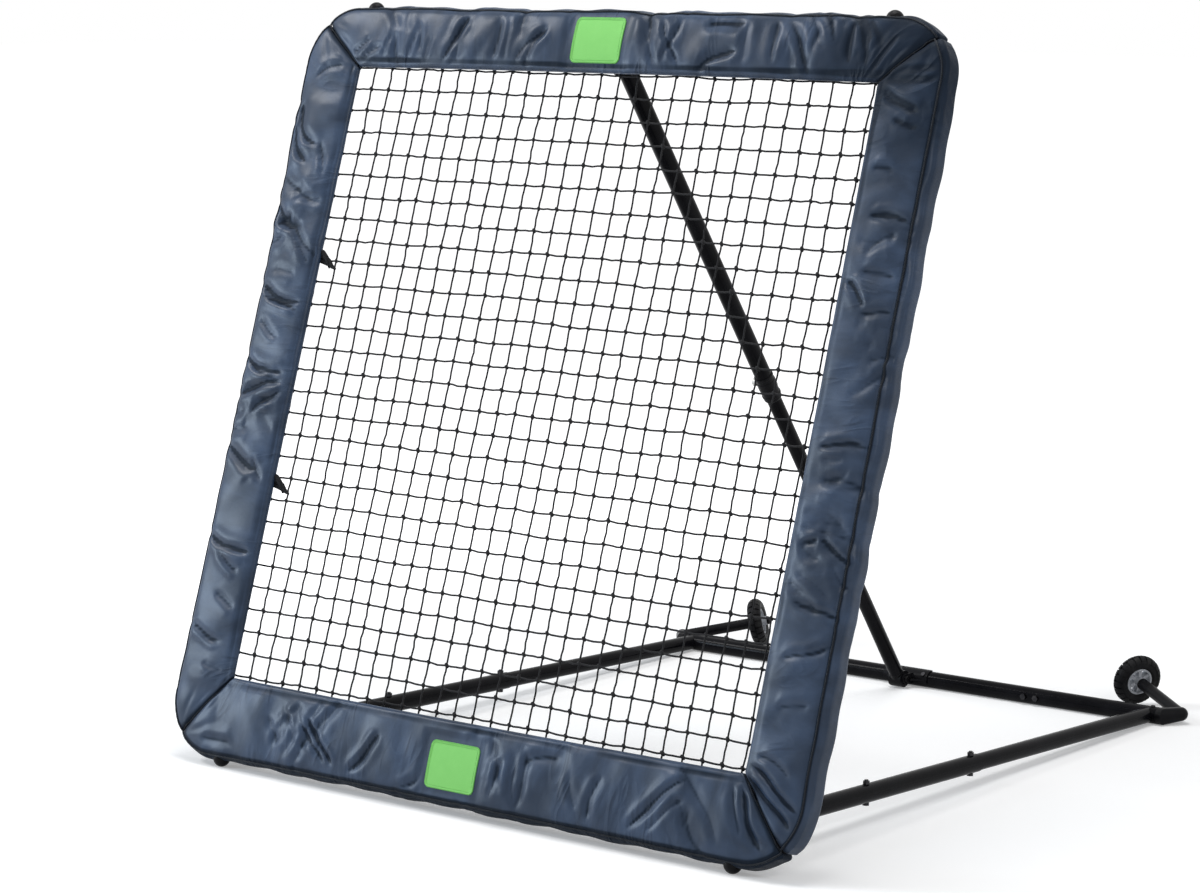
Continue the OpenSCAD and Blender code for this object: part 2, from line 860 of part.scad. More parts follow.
// Screw down through each crossbar end into its plug.
module arm_screws() {
  color(zinc) pair() translate([bar_end - 14, bar_y, bar_z]) {
    translate([0, 0, 8]) cylinder(r = 2.45, h = tube_r - 7);
    translate([0, 0, tube_r]) cylinder(r = 5, h = 2.4);
  }
}

module axle() {
  color(zinc) on_wheel() translate([0, 0, -hub_half - 59]) cylinder(r = axle_r, h = 2 * hub_half + 66);
}

module axle_right() {
  axle();
}

module axle_left() {
  left() axle();
}

module axle_caps() {
  color(plastic) pair() on_wheel() translate([0, 0, hub_half + 0.4]) difference() {
    rotate_extrude() polygon([[0, 0], [10, 0], [10, 4], [7, 8], [0, 8]]);
    translate([0, 0, -1]) cylinder(r = axle_r + play, h = 7.7);
  }
}

// Saddle over the crossbar with two cheeks for the strut's foot.
module strut_saddle() {
  half = 60;
  gap = lower_r + 1;
  boss = 12;
  color(steel) translate([0, bar_y, bar_z]) difference() {
    union() {
      translate([-half, 0, 0]) rotate([90, 0, 90]) linear_extrude(2 * half) intersection() {
        circle(tube_r + plate);
        polygon([[-40, -16], [-40, 40], [8, 40], [0, 0]]);
      }
      for (s = [-1, 1])
        translate([s * (gap + plate / 2) - plate / 2, 0, 0]) rotate([90, 0, 90])
          linear_extrude(plate) link2d([-10, 2], 12, [-toe_off, toe_z - bar_z], boss);
      for (s = [-1, 1])
        translate([s * (gap + plate / 2), 0, 0]) mirror([s < 0 ? 1 : 0, 0, 0])
          translate([0, -tube_r - 1.5, -1.5]) linear_extrude(plate)
            polygon([[0, 2], [half - gap - 6, 2], [0, -toe_off + tube_r + boss]]);
    }
    translate([-half - 1, 0, 0]) along_x() cylinder(r = tube_r, h = 2 * half + 2);
    translate([-40, -toe_off, toe_z - bar_z]) along_x() cylinder(r = bolt_r + play, h = 80);
    for (s = [-1, 1]) translate([s * 48, 0, 0]) rotate([50, 0, 0]) cylinder(r = 2.6, h = 40);
  }
}

module strut_foot_bolt() {
  grip = 2 * (lower_r + 1 + plate);
  color(zinc) translate([-grip / 2, toe_y, toe_z]) along_x() bolt(bolt_r, grip);
}

// Screws that fix the saddle to the crossbar.
module saddle_screws() {
  color(zinc) translate([0, bar_y, bar_z]) for (s = [-1, 1])
    translate([s * 48, 0, 0]) rotate([50, 0, 0]) {
      translate([0, 0, tube_r + 0.1]) cylinder(r = 2.5, h = plate);
      translate([0, 0, tube_r + plate]) cylinder(r = 5, h = 2.4);
    }
}

// ---------------------------------------------------------------- strut

collar_low = 16;                // collar below the upper tube's end
lock_s = upper_len + collar_low - collar_len + 24;
toe_eye = 19.5;

module strut_upper_tube() {
  color(steel) on_strut() difference() {
    translate([0, 0, -upper_len]) tube(upper_len + 22, tube_r);
    translate([-30, 0, 0]) along_x() cylinder(r = pin_r + play, h = 60);
    translate([0, 0, -lock_s]) rotate([0, -90, 0]) cylinder(r = 5 + play, h = 40);
  }
}

module strut_top_bolt() {
  grip = 2 * (tube_r + cheek_gap + plate + 0.2);
  color(zinc) on_strut() translate([-grip / 2, 0, 0]) along_x() bolt(pin_r, grip);
}

// Clamp collar with three ribs, a lock boss and a bore for the lower tube.
module strut_collar() {
  r = collar_d / 2;
  h = collar_len;
  rib = 1.2;
  color(plastic) on_strut() translate([0, 0, -upper_len - collar_low]) difference() {
    union() {
      rotate_extrude() polygon([[0, 0], [r - 2.2, 0], [r - rib, 2], [r - rib, 9], [r, 10],
        [r, 14], [r - rib, 15], [r - rib, 30], [r, 31], [r, h - 16], [r - rib, h - 15],
        [r - rib, h - 7], [r, h - 6], [r, h - 1.5], [r - 1.5, h], [0, h]]);
      translate([0, 0, upper_len + collar_low - lock_s]) rotate([0, -90, 0])
        cylinder(r = 8, h = r + 3.5);
    }
    translate([0, 0, -1]) cylinder(r = lower_r + fit, h = h + 2);
    translate([0, 0, collar_low]) cylinder(r = tube_r + play, h = h);
    translate([0, 0, upper_len + collar_low - lock_s]) rotate([0, -90, 0])
      cylinder(r = 5 + play, h = 60);
  }
}

// Thumb screw that presses on the lower tube.
module strut_lock_screw() {
  head = collar_d / 2 + 3.5 + 0.4;
  color(zinc) on_strut() translate([0, 0, -lock_s]) rotate([0, -90, 0]) {
    translate([0, 0, lower_r + seat]) cylinder(r = 5, h = head - lower_r);
    translate([0, 0, head]) linear_extrude(9) difference() {
      circle(knob_d / 2);
      for (k = [0:7])
        rotate(k * 45) translate([knob_d / 2 + 1, 0]) circle(2.4);
    }
  }
}

module strut_lower_tube() {
  color(steel) on_strut() translate([0, 0, -strut_len + toe_eye + 4])
    tube(strut_len - toe_eye - 4 - upper_len + overlap, lower_r);
}

// Plastic guide in the top of the lower tube, a running fit in the upper one.
module strut_glide() {
  color(plastic) on_strut() translate([0, 0, -upper_len + overlap]) {
    translate([0, 0, -25]) cylinder(r = lower_r - tube_wall - play, h = 26);
    cylinder(r = bore_r - fit, h = 12);
  }
}

// Rounded foot of the strut: an eye for the foot bolt and a plug in the tube.
module strut_end_cap() {
  w = lower_r + 0.5;
  color(plastic) on_strut() translate([0, 0, -strut_len]) difference() {
    union() {
      translate([-w, 0, 0]) along_x() cylinder(r = toe_eye, h = 2 * w);
      cylinder(r = lower_r + 0.4, h = toe_eye + 4);
      cylinder(r = lower_r - tube_wall - play, h = toe_eye + 40);
    }
    translate([-w - 1, 0, 0]) along_x() cylinder(r = bolt_r + 3.2, h = 2 * w + 2);
  }
}

// ---------------------------------------------------------------- wheels

// Tyre with two staggered rows of tread blocks over a rounded carcass.
module tyre() {
  h = wheel_w / 2;
  color([0.06, 0.06, 0.06]) on_wheel() difference() {
    union() {
      rotate_extrude() polygon(concat([[rim_r - 3, -h + 6], [rim_r + 3, -h + 2]],
        arc([tread_r, 0], wheel_r - tread_r - 4, h - 1, -75, 75, 8),
        [[rim_r + 3, h - 2], [rim_r - 3, h - 6]]));
      intersection() {
        rotate_extrude() polygon(concat([[rim_r, -h]],
          arc([tread_r, 0], wheel_r - tread_r, h, -88, 88, 9), [[rim_r, h]]));
        for (row = [0, 1])
          translate([0, 0, row ? 1.2 : -h - 3]) rotate(3.4 + row * 180 / lugs) linear_extrude(h + 1.8)
            for (k = [0:lugs - 1]) rotate(k * 360 / lugs)
              translate([wheel_r - 12, -132 / lugs]) square([14, 264 / lugs]);
      }
    }
    translate([0, 0, -h - 1]) cylinder(r = rim_r - 2, h = wheel_w + 2);
  }
}

module tyre_right() {
  tyre();
}

module tyre_left() {
  left() tyre();
}

// Moulded hub: rim, six spokes with open gaps and a boss with the axle bore.
module hub() {
  h = wheel_w / 2 - 5;
  color([0.28, 0.28, 0.29]) on_wheel() difference() {
    union() {
      rotate_extrude() polygon([[rim_r - 6.5, -h], [rim_r - 2.3, -h], [rim_r - 2.3, h], [rim_r - 6.5, h]]);
      translate([0, 0, -hub_half]) cylinder(r = 11, h = 2 * hub_half);
      for (k = [0:5]) rotate([0, 0, 60 * k])
        translate([8, -3.5, -h + 3]) cube([rim_r - 13, 7, 2 * h - 6]);
    }
    translate([0, 0, -hub_half - 1]) cylinder(r = axle_r + run, h = 2 * hub_half + 2);
  }
}

module hub_right() {
  hub();
}

module hub_left() {
  left() hub();
}

// Everything is moved so that the origin is under the middle of the part.
module set_down() {
  translate([0, -mid_y, 0]) children();
}

set_down() side_tube_left();
set_down() side_tube_right();
set_down() top_tube();
set_down() bottom_tube();
set_down() corner_bolts();
set_down() foot_left();
set_down() foot_right();
set_down() corner_caps();
set_down() hinge_bracket_left();
set_down() hinge_bracket_right();
set_down() strut_bracket();
set_down() lacing_pegs();
set_down() net();
set_down() net_rope();
set_down() net_lacing();
set_down() cover_top();
set_down() cover_bottom();
set_down() cover_left();
set_down() cover_right();
set_down() foam_top();
set_down() foam_bottom();
set_down() foam_left();
set_down() foam_right();
set_down() piping();
set_down() pad_ties();
set_down() patch_top();
set_down() patch_bottom();
set_down() rail_front_left();
set_down() rail_front_right();
set_down() rail_rear_left();
set_down() rail_rear_right();
set_down() rail_plugs();
set_down() rail_bolts();
set_down() hinge_bolts();
set_down() crossbar_middle();
set_down() crossbar_left();
set_down() crossbar_right();
set_down() crossbar_sleeves();
set_down() crossbar_bolts();
set_down() wheel_arm_left();
set_down() wheel_arm_right();
set_down() arm_screws();
set_down() axle_left();
set_down() axle_right();
set_down() axle_caps();
set_down() strut_saddle();
set_down() strut_foot_bolt();
set_down() saddle_screws();
set_down() strut_upper_tube();
set_down() strut_top_bolt();
set_down() strut_collar();
set_down() strut_lock_screw();
set_down() strut_lower_tube();
set_down() strut_glide();
set_down() strut_end_cap();
set_down() tyre_left();
set_down() tyre_right();
set_down() hub_left();
set_down() hub_right();
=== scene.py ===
# Pitch-back rebounder: finishes, sewn pads, knotted net, rope, lacing and trim.
import math
import random

import bmesh
import bpy
import numpy as np
from mathutils import Matrix, Vector
from mathutils.bvhtree import BVHTree


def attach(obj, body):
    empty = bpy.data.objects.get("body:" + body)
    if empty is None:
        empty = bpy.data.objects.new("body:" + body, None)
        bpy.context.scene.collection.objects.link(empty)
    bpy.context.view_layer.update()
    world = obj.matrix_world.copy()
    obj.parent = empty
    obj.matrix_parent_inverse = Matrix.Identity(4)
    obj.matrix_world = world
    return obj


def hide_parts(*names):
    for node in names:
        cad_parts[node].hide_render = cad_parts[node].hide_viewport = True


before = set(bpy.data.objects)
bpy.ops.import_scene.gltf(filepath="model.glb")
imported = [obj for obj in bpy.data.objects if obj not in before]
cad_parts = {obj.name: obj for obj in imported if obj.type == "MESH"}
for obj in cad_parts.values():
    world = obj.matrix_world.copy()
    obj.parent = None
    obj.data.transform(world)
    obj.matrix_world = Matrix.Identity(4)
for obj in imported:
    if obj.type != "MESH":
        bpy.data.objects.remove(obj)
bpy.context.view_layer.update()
scene = bpy.context.scene

# ---------------------------------------------------------------- sizes, in metres

LEAN = math.radians(17.9)        # the net frame leans back
BASE_Z = 0.0387206               # bottom tube's axis above the floor
MID_Y = 0.86247                  # bottom tube's axis before the origin
FRAME_W, FRAME_H = 1.600, 1.584  # between tube axes
BEND_R = 0.105                   # bends of the frame's corners
TUBE_R = 0.019
PAD_OVER, PAD_BACK = 0.0265, 0.026
PAD_FRONT, CROWN = 0.026, 0.005
EDGE_R, HEM_R = 0.006, 0.007     # rounding of a pad's outer and inner edge
BOARD = 0.008                    # back of the pads' front board
FLAP = PAD_OVER + 0.0275
CORNER_R = BEND_R + PAD_OVER
CORNER_RUN = 0.085               # how far a pad's corner reaches along its straight
BOTTOM, TOP, SIDE = 0, 1, 2
BAND = {BOTTOM: 0.174, TOP: 0.134, SIDE: 0.157}
POINTS_X, POINTS_S = 0.0057, 0.0056  # spacing of a pad's points along it and across it
CLOTH = 0.0022                   # a cover and its slack over the tube
BILLOW, SCALLOP, ARCH = 0.0026, 0.0026, 0.0050
SEAM_DIP, HEM_DIP, HEM_IN = 0.0050, 0.0030, 0.0150
ROLL, ROLL_DROP = 0.018, 0.0045  # the front rolls over to its piping
NOTCH_REACH, NOTCH_DEEP = 0.028, 0.0035
PIPING_R, SEAM_R = 0.0021, 0.0013
CAP_X, CAP_ROOM = 0.670, 0.0187  # corner caps from the middle, and the openings for them
HINGE_X = 0.636                  # hinge brackets from the middle
STRAP_ROOM = TUBE_R + 0.012      # half of the opening for a bracket
LACE_GAP, LACE_GAP_V = 0.100, 0.092
NET_W, NET_H = FRAME_W - 2 * LACE_GAP, FRAME_H - 2 * LACE_GAP_V
ROPE_R, LACE_R = 0.004, 0.0019
LACES_A_SIDE = 6
MESH_X, MESH_V = 0.04774, 0.0473  # one cell of the net
KNOT_X, KNOT_V = -0.0168, 0.8175  # one of its knots
PATCH_W, PATCH_H, PATCH_R = 0.128, 0.096, 0.012
PATCH_AT = {TOP: (-0.024, PAD_OVER + 0.039), BOTTOM: (-0.023, PAD_OVER + 0.053)}


def on_panel(x, v, w):
    """A point of the leaning frame: x to the right, v up the frame, w to the front."""
    return (x, v * math.sin(LEAN) - w * math.cos(LEAN) - MID_Y,
            BASE_Z + v * math.cos(LEAN) + w * math.sin(LEAN))


PANEL = Matrix(((1, 0, 0, 0), (0, math.sin(LEAN), -math.cos(LEAN), -MID_Y),
                (0, math.cos(LEAN), math.sin(LEAN), BASE_Z), (0, 0, 0, 1)))
FRONT = Vector(on_panel(0, 0, 1)) - Vector(on_panel(0, 0, 0))

# ---------------------------------------------------------------- camera

camera = bpy.data.objects.new("camera", bpy.data.cameras.new("camera"))
scene.collection.objects.link(camera)
camera.data.lens = 103.37
camera.data.sensor_width = 36
camera.data.clip_end = 60
camera.location = (4.3945, -5.85777, 1.7121)
camera.rotation_euler = (math.radians(90 - 8.323), 0, math.radians(39.018))
scene.camera = camera
scene.view_settings.view_transform = "Standard"


# ---------------------------------------------------------------- node graphs

def by_math(operation, swapped=False):
    """A method that adds one Math node to a socket."""
    def method(self, *others):
        terms = (*others, self) if swapped else (self, *others)
        return self.graph.node("ShaderNodeMath", {"operation": operation}, dict(enumerate(terms)))[0]
    return method


class Socket:
    """A node's output. Python arithmetic on it adds Math nodes."""

    __add__, __mul__, __sub__ = by_math("ADD"), by_math("MULTIPLY"), by_math("SUBTRACT")
    __rmul__, __rsub__ = by_math("MULTIPLY"), by_math("SUBTRACT", swapped=True)
    abs, sine = by_math("ABSOLUTE"), by_math("SINE")
    least, most = by_math("MINIMUM"), by_math("MAXIMUM")

    def __init__(self, graph, out):
        self.graph, self.out = graph, out

    def step(self, low, high):
        """0 below low, 1 above high and smooth between them."""
        return self.graph.node("ShaderNodeMapRange", {"interpolation_type": "SMOOTHSTEP"},
                               {"Value": self, "From Min": low, "From Max": high})[0]


def pick(sockets, key):
    """The socket in use that has a number or a name."""
    live = [s for s in sockets if s.enabled]
    return live[key] if isinstance(key, int) else next(s for s in live if s.name == key)


class Outputs:
    """What a node gives, by number or by name."""

    def __init__(self, graph, made):
        self.graph, self.made = graph, made

    def __getitem__(self, key):
        return Socket(self.graph, pick(self.made.outputs, key))


class Graph:
    """A node tree that is filled one node at a time."""

    def __init__(self, tree):
        self.tree = tree

    def node(self, kind, settings=(), inputs=()):
        made = self.tree.nodes.new(kind)
        for key, value in dict(settings).items():
            setattr(made, key, value)
        for key, value in dict(inputs).items():
            target = pick(made.inputs, key)
            if isinstance(value, (Socket, list)):
                for one in value if isinstance(value, list) else [value]:
                    self.tree.links.new(one.out, target)
            else:
                target.default_value = value
        return Outputs(self, made)

    def geo(self, kind, **inputs):
        """A node on geometry, its inputs named with _ for a space."""
        return self.node("GeometryNode" + kind, {},
                         {key.replace("_", " "): value for key, value in inputs.items()})[0]

    def vector(self, operation, *terms):
        return self.node("ShaderNodeVectorMath", {"operation": operation}, dict(enumerate(terms)))[0]


class Finish(Graph):
    """A material on one Principled shader."""

    def __init__(self, name, **plain):
        self.material = bpy.data.materials.new(name)
        self.material.use_nodes = True
        super().__init__(self.material.node_tree)
        self.shader = self.tree.nodes["Principled BSDF"]
        for key, value in plain.items():
            self.shader.inputs[key.replace("_", " ")].default_value = value

    def coords(self, scale=(1, 1, 1), uv=False):
        where = self.node("ShaderNodeTexCoord")["UV" if uv else "Object"]
        return self.node("ShaderNodeMapping", {}, {"Vector": where, "Scale": scale})[0]

    def along_map(self):
        """The map's two coordinates: around a piece and along it."""
        parts = self.node("ShaderNodeSeparateXYZ", {}, {0: self.coords(uv=True)})
        return parts[0], parts[1]

    def noise(self, where, scale, detail=3.0, rough=0.5, distort=0.0):
        return self.node("ShaderNodeTexNoise", {}, {
            "Vector": where, "Scale": scale, "Detail": detail, "Roughness": rough,
            "Distortion": distort})[0]

    def mix(self, amount, one, other):
        return self.node("ShaderNodeMix", {"data_type": "RGBA"},
                         {"Factor": amount, "A": one, "B": other})["Result"]

    def bump(self, height, distance, strength=1.0, under=None):
        inputs = {"Height": height, "Distance": distance, "Strength": strength}
        if under is not None:
            inputs["Normal"] = under
        return self.node("ShaderNodeBump", {}, inputs)[0]

    def done(self, **links):
        for key, value in links.items():
            self.tree.links.new(value.out, self.shader.inputs[key.replace("_", " ")])
        return self.material


# ---------------------------------------------------------------- materials

def rgb(r, g, b):
    return (r, g, b, 1.0)


def tinted(colour, times, plus=0.0):
    """A colour made lighter or darker."""
    return rgb(*(c * times + plus for c in colour[:3]))


def coated_cloth(name, dark, light, rough=0.46, gloss=0.09, sheen=0.39):
    """Coated woven nylon: fine weave, soft wrinkles, painted shade in the folds, painted highlight on the
    swells and a satin coat worn on the ridges.
    """
    f = Finish(name, Specular_IOR_Level=gloss, Specular_Tint=rgb(0.70, 0.84, 1.0),
               Coat_Roughness=0.33, Coat_Tint=rgb(0.80, 0.90, 1.0))
    around, along = f.along_map()
    weave = ((around * 5200.0).sine() * (along * 5200.0).sine()) * 0.5 + 0.5
    broad = f.noise(f.coords(), 7.0, 2.0, 0.5)
    cloud = f.noise(f.coords((9, 16, 1), uv=True), 1.0, 3.0, 0.5, 0.4)
    drawn = f.noise(f.coords((6, 17, 1), uv=True), 1.0, 1.0, 0.4, 1.4)
    ridge = 1.0 - ((drawn - 0.5).abs() * 8.0).least(1.0)
    gathers = f.noise(f.coords((13, 40, 1), uv=True), 1.0, 2.0, 0.5, 1.2)
    crease = f.node("ShaderNodeAttribute", {"attribute_name": "crease"})["Fac"]
    tone = f.mix((cloud * 0.6 + broad * 0.4).step(0.36, 0.66), dark, light)
    # Painted shade: the crease attribute darkens fold valleys and fold lines, the mitre seams, the hem,
    # the piping groove, the bottom pad's lower wall and the top right-hand corner.
    tone = f.mix(crease.step(0.05, 0.72) * 0.90, tone, tinted(dark, 0.14))
    # Painted highlight: where the crease attribute is below zero, on fold ridges and swells, the cloth is
    # lighter.
    tone = f.mix((crease * -1.0).step(0.08, 0.8) * 0.40, tone, tinted(light, 1.8))
    tone = f.mix(weave * 0.10, tone, tinted(light, 1.6))
    height = f.bump(cloud, 0.007, 0.50)
    height = f.bump(ridge * broad.step(0.44, 0.62), 0.0040, 0.55, height)
    height = f.bump(gathers * broad.step(0.52, 0.68), 0.0030, 0.55, height)
    height = f.bump(weave, 0.00025, 0.30, height)
    return f.done(Base_Color=tone, Roughness=(cloud - 0.5) * 0.2 + rough + (weave - 0.5) * 0.04,
                  Coat_Weight=(1.0 - crease.step(0.05, 0.60)) * (cloud * 0.4 + 0.8) * sheen,
                  Normal=height)


def powder_coat(name, colour, rough):
    """Baked powder coat: orange peel, dust and slightly worn gloss."""
    f = Finish(name, Coat_Weight=0.0, Coat_Roughness=0.10, Specular_IOR_Level=0.050)
    where = f.coords()
    peel = f.noise(where, 420.0, 2.0, 0.5)
    worn = f.noise(where, 9.0, 4.0, 0.6)
    cells = f.node("ShaderNodeTexVoronoi", {}, {"Vector": where, "Scale": 260.0})["Distance"]
    tone = f.mix(worn.step(0.35, 0.75), colour, tinted(colour, 1.8, 0.002))
    tone = f.mix((1.0 - cells.step(0.05, 0.16)) * worn * 0.16, tone, rgb(0.07, 0.07, 0.07))
    return f.done(Base_Color=tone, Roughness=(worn - 0.5) * 0.16 + rough,
                  Normal=f.bump(peel, 0.0004, 0.30))


def moulded(name, colour, rough):
    """Spark-eroded moulded plastic with slight flow marks."""
    f = Finish(name, Specular_IOR_Level=0.09)
    texture = f.noise(f.coords(), 900.0, 3.0, 0.6)
    flow = f.noise(f.coords((30, 30, 8)), 1.0, 3.0, 0.5, 0.6)
    tone = f.mix(flow.step(0.3, 0.75), colour, tinted(colour, 1.5, 0.002))
    return f.done(Base_Color=tone, Roughness=(texture - 0.5) * 0.2 + (flow - 0.5) * 0.1 + rough,
                  Normal=f.bump(texture, 0.0005, 0.35))


def zinc_plate(name, dark, light):
    """Zinc plate with fine drawn lines and a cloudy passivation."""
    f = Finish(name, Metallic=1.0)
    lines = f.noise(f.coords((900, 900, 60)), 1.0, 2.0, 0.5)
    cloud = f.noise(f.coords(), 60.0, 3.0, 0.5)
    tone = f.mix(cloud.step(0.3, 0.7), dark, light)
    return f.done(Base_Color=tone, Roughness=(lines - 0.5) * 0.25 + cloud * 0.12 + 0.26,
                  Normal=f.bump(lines, 0.0002, 0.25))


def rubber():
    """Tyre rubber with mould dust on its blocks."""
    f = Finish("tyre_rubber", Specular_IOR_Level=0.10)
    where = f.coords()
    grit = f.noise(where, 700.0, 3.0, 0.7)
    dust = f.noise(where, 26.0, 4.0, 0.6)
    tone = f.mix(dust.step(0.42, 0.75), rgb(0.006, 0.006, 0.007), rgb(0.032, 0.032, 0.031))
    return f.done(Base_Color=tone, Roughness=grit * 0.2 + dust * 0.1 + 0.42,
                  Normal=f.bump(grit, 0.0006, 0.45))


def twisted(name, dark, light, per_metre, rough=0.75):
    """Laid or braided cord, its lines winding with the cord's own map."""
    f = Finish(name, Specular_IOR_Level=0.15)
    around, along = f.along_map()
    lay = ((around * 2.0 + along * per_metre) * (2 * math.pi)).sine() * 0.5 + 0.5
    fuzz = f.noise(f.coords(), 900.0, 2.0, 0.6)
    tone = f.mix(lay * 0.7 + fuzz * 0.3, dark, light)
    return f.done(Base_Color=tone, Roughness=fuzz * 0.15 + rough, Normal=f.bump(lay, 0.0005, 0.6))


def woven_patch(name, base, thread):
    """Dense satin cloth."""
    f = Finish(name, Specular_IOR_Level=0.18)
    around, along = f.along_map()
    rows = (around * 4200.0).sine() * 0.5 + 0.5
    picks = (along * 2600.0 + (around * 700.0).sine() * 1.2).sine() * 0.5 + 0.5
    fade = f.noise(f.coords(), 40.0, 3.0, 0.6)
    tone = f.mix(rows * 0.35 + fade * 0.4, base, thread)
    return f.done(Base_Color=tone, Roughness=picks * 0.12 + 0.50,
                  Normal=f.bump(rows * 0.6 + picks * 0.4, 0.0003, 0.5))


CORD_DARK = rgb(0.006, 0.006, 0.007)
CORD_LIGHT = rgb(0.030, 0.030, 0.032)
navy = coated_cloth("navy_cloth", rgb(0.013, 0.023, 0.043), rgb(0.036, 0.058, 0.102))
# Partly the binding's own colour and partly painted shade: nearly black so that the piping shows the shade
# of its groove; the mitre seams share it.
trim_painted_shade = coated_cloth("binding_painted_shade", rgb(0.003, 0.004, 0.006), rgb(0.008, 0.010, 0.015),
                         rough=0.45, gloss=0.12, sheen=0.12)
tube_coat = powder_coat("black_gloss_coat", rgb(0.003, 0.003, 0.004), 0.16)
bracket_coat = powder_coat("black_satin_coat", rgb(0.005, 0.005, 0.006), 0.34)
black_plastic = moulded("black_plastic", rgb(0.003, 0.003, 0.004), 0.36)
grey_plastic = moulded("grey_plastic", rgb(0.340, 0.355, 0.380), 0.42)
zinc = zinc_plate("bright_zinc", rgb(0.52, 0.53, 0.55), rgb(0.66, 0.64, 0.58))
black_zinc = zinc_plate("black_zinc", rgb(0.022, 0.022, 0.025), rgb(0.045, 0.044, 0.046))
tyre = rubber()
twine = twisted("black_twine", CORD_DARK, rgb(0.035, 0.035, 0.037), 160.0)
rope = twisted("black_rope", CORD_DARK, CORD_LIGHT, 90.0)
elastic = twisted("black_elastic", CORD_DARK, CORD_LIGHT, 220.0, 0.6)
tape = twisted("black_tape", rgb(0.003, 0.003, 0.004), rgb(0.012, 0.012, 0.014), 300.0, 0.6)
green = woven_patch("green_patch", rgb(0.200, 0.580, 0.130), rgb(0.290, 0.720, 0.200))
green_edge = woven_patch("green_edge", rgb(0.130, 0.420, 0.085), rgb(0.200, 0.560, 0.130))

CAD_FINISH = {
    tube_coat: ["side_tube_left", "side_tube_right", "top_tube", "bottom_tube",
                "rail_front_left", "rail_front_right", "rail_rear_left", "rail_rear_right",
                "crossbar_middle", "crossbar_left", "crossbar_right", "crossbar_sleeves",
                "strut_upper_tube", "strut_lower_tube"],
    bracket_coat: ["hinge_bracket_left", "hinge_bracket_right", "strut_bracket", "strut_saddle",
                   "lacing_pegs"],
    black_plastic: ["foot_left", "foot_right", "corner_caps", "rail_plugs", "wheel_arm_left",
                    "wheel_arm_right", "axle_caps", "strut_collar", "strut_glide",
                    "strut_end_cap"],
    grey_plastic: ["hub_left", "hub_right"],
    black_zinc: ["corner_bolts", "rail_bolts", "hinge_bolts", "crossbar_bolts", "arm_screws",
                 "strut_foot_bolt", "saddle_screws", "strut_top_bolt"],
    zinc: ["axle_left", "axle_right", "strut_lock_screw"],
    tyre: ["tyre_left", "tyre_right"],
}
for finish, names in CAD_FINISH.items():
    for name in names:
        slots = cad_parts[name].material_slots
        for slot in slots:
            slot.material = finish
        if not len(slots):
            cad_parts[name].data.materials.append(finish)


# ---------------------------------------------------------------- mesh helpers

def add_object(name, data):
    piece = bpy.data.objects.new(name, data)
    scene.collection.objects.link(piece)
    return piece


def evaluated(piece):
    return piece.evaluated_get(bpy.context.evaluated_depsgraph_get())


def settle(mesh, angle):
    """Turns every face outwards and smooths all but the real edges."""
    work = bmesh.new()
    work.from_mesh(mesh)
    bmesh.ops.recalc_face_normals(work, faces=work.faces)
    work.to_mesh(mesh)
    work.free()
    mesh.shade_smooth()
    mesh.set_sharp_from_angle(angle=math.radians(angle))


def dressed(mesh, material, slot, *nodes):
    """Puts a mesh on the leaning frame with its material and hides the nodes that it stands for; its slot
    argument is not used.
    """
    piece = add_object(mesh.name, mesh)
    if material is not None:
        mesh.materials.clear()
        mesh.materials.append(material)
    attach(piece, "panel")
    if nodes:
        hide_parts(*nodes)
    return piece


def grown(name, build, **sizes):
    """Runs a Geometry Nodes tree once and returns its plain mesh."""
    tree = bpy.data.node_groups.new(name, "GeometryNodeTree")
    tree.interface.new_socket("Geometry", in_out="INPUT", socket_type="NodeSocketGeometry")
    tree.interface.new_socket("Geometry", in_out="OUTPUT", socket_type="NodeSocketGeometry")
    for key, value in sizes.items():
        kind = "NodeSocketFloat" if isinstance(value, float) else "NodeSocketMaterial"
        tree.interface.new_socket(key, in_out="INPUT", socket_type=kind)
    graph = Graph(tree)
    source = graph.node("NodeGroupInput")
    result = build(graph, {key: source[key] for key in sizes})
    end = tree.nodes.new("NodeGroupOutput")
    tree.links.new(result.out, end.inputs[0])
    host = add_object(name + "_host", bpy.data.meshes.new(name + "_host"))
    modifier = host.modifiers.new(name, "NODES")
    modifier.node_group = tree
    for item in tree.interface.items_tree:
        if item.in_out == "INPUT" and item.name in sizes:
            modifier[item.identifier] = sizes[item.name]
    plain = bpy.data.meshes.new_from_object(evaluated(host))
    host.modifiers.remove(modifier)
    bpy.data.objects.remove(host)
    plain.name = name
    return plain


def mapped(name, verts, faces, uvs, angle):
    """A mesh whose map is given corner by corner."""
    mesh = bpy.data.meshes.new(name)
    mesh.from_pydata(verts, [], faces)
    layer = mesh.uv_layers.new(name="UVMap")
    layer.data.foreach_set("uv", np.array(uvs, dtype=np.float32).ravel())
    settle(mesh, angle)
    return mesh


def skin(name, strips, across, angle, closed=False):
    """A mesh round strips of rings, each ring as its points and the metres along its strip.

    A strip comes with its full length. across maps the points of a ring and
    has one value more than they are, for the step back to the first.
    """
    verts, faces, uvs = [], [], []
    sides = len(across) - 1
    for rings, length in strips:
        start, count = len(verts), len(rings)
        for points, _ in rings:
            verts += points
        for i in range(count if closed else count - 1):
            j = (i + 1) % count
            here, there = rings[i][1], rings[j][1] if j else length
            for k in range(sides):
                m = (k + 1) % sides
                faces.append((start + i * sides + k, start + i * sides + m,
                              start + j * sides + m, start + j * sides + k))
                uvs += [(across[k], here), (across[k + 1], here),
                        (across[k + 1], there), (across[k], there)]
        if not closed:
            for end in (0, count - 1):
                faces.append(tuple(start + end * sides + k for k in range(sides)))
                uvs += [(across[k], rings[end][1]) for k in range(sides)]
    return mapped(name, verts, faces, uvs, angle)


def walked(points):
    """Metres from the first point to each."""
    lengths = [0.0]
    for a, b in zip(points, points[1:]):
        lengths.append(lengths[-1] + (b - a).length)
    return lengths


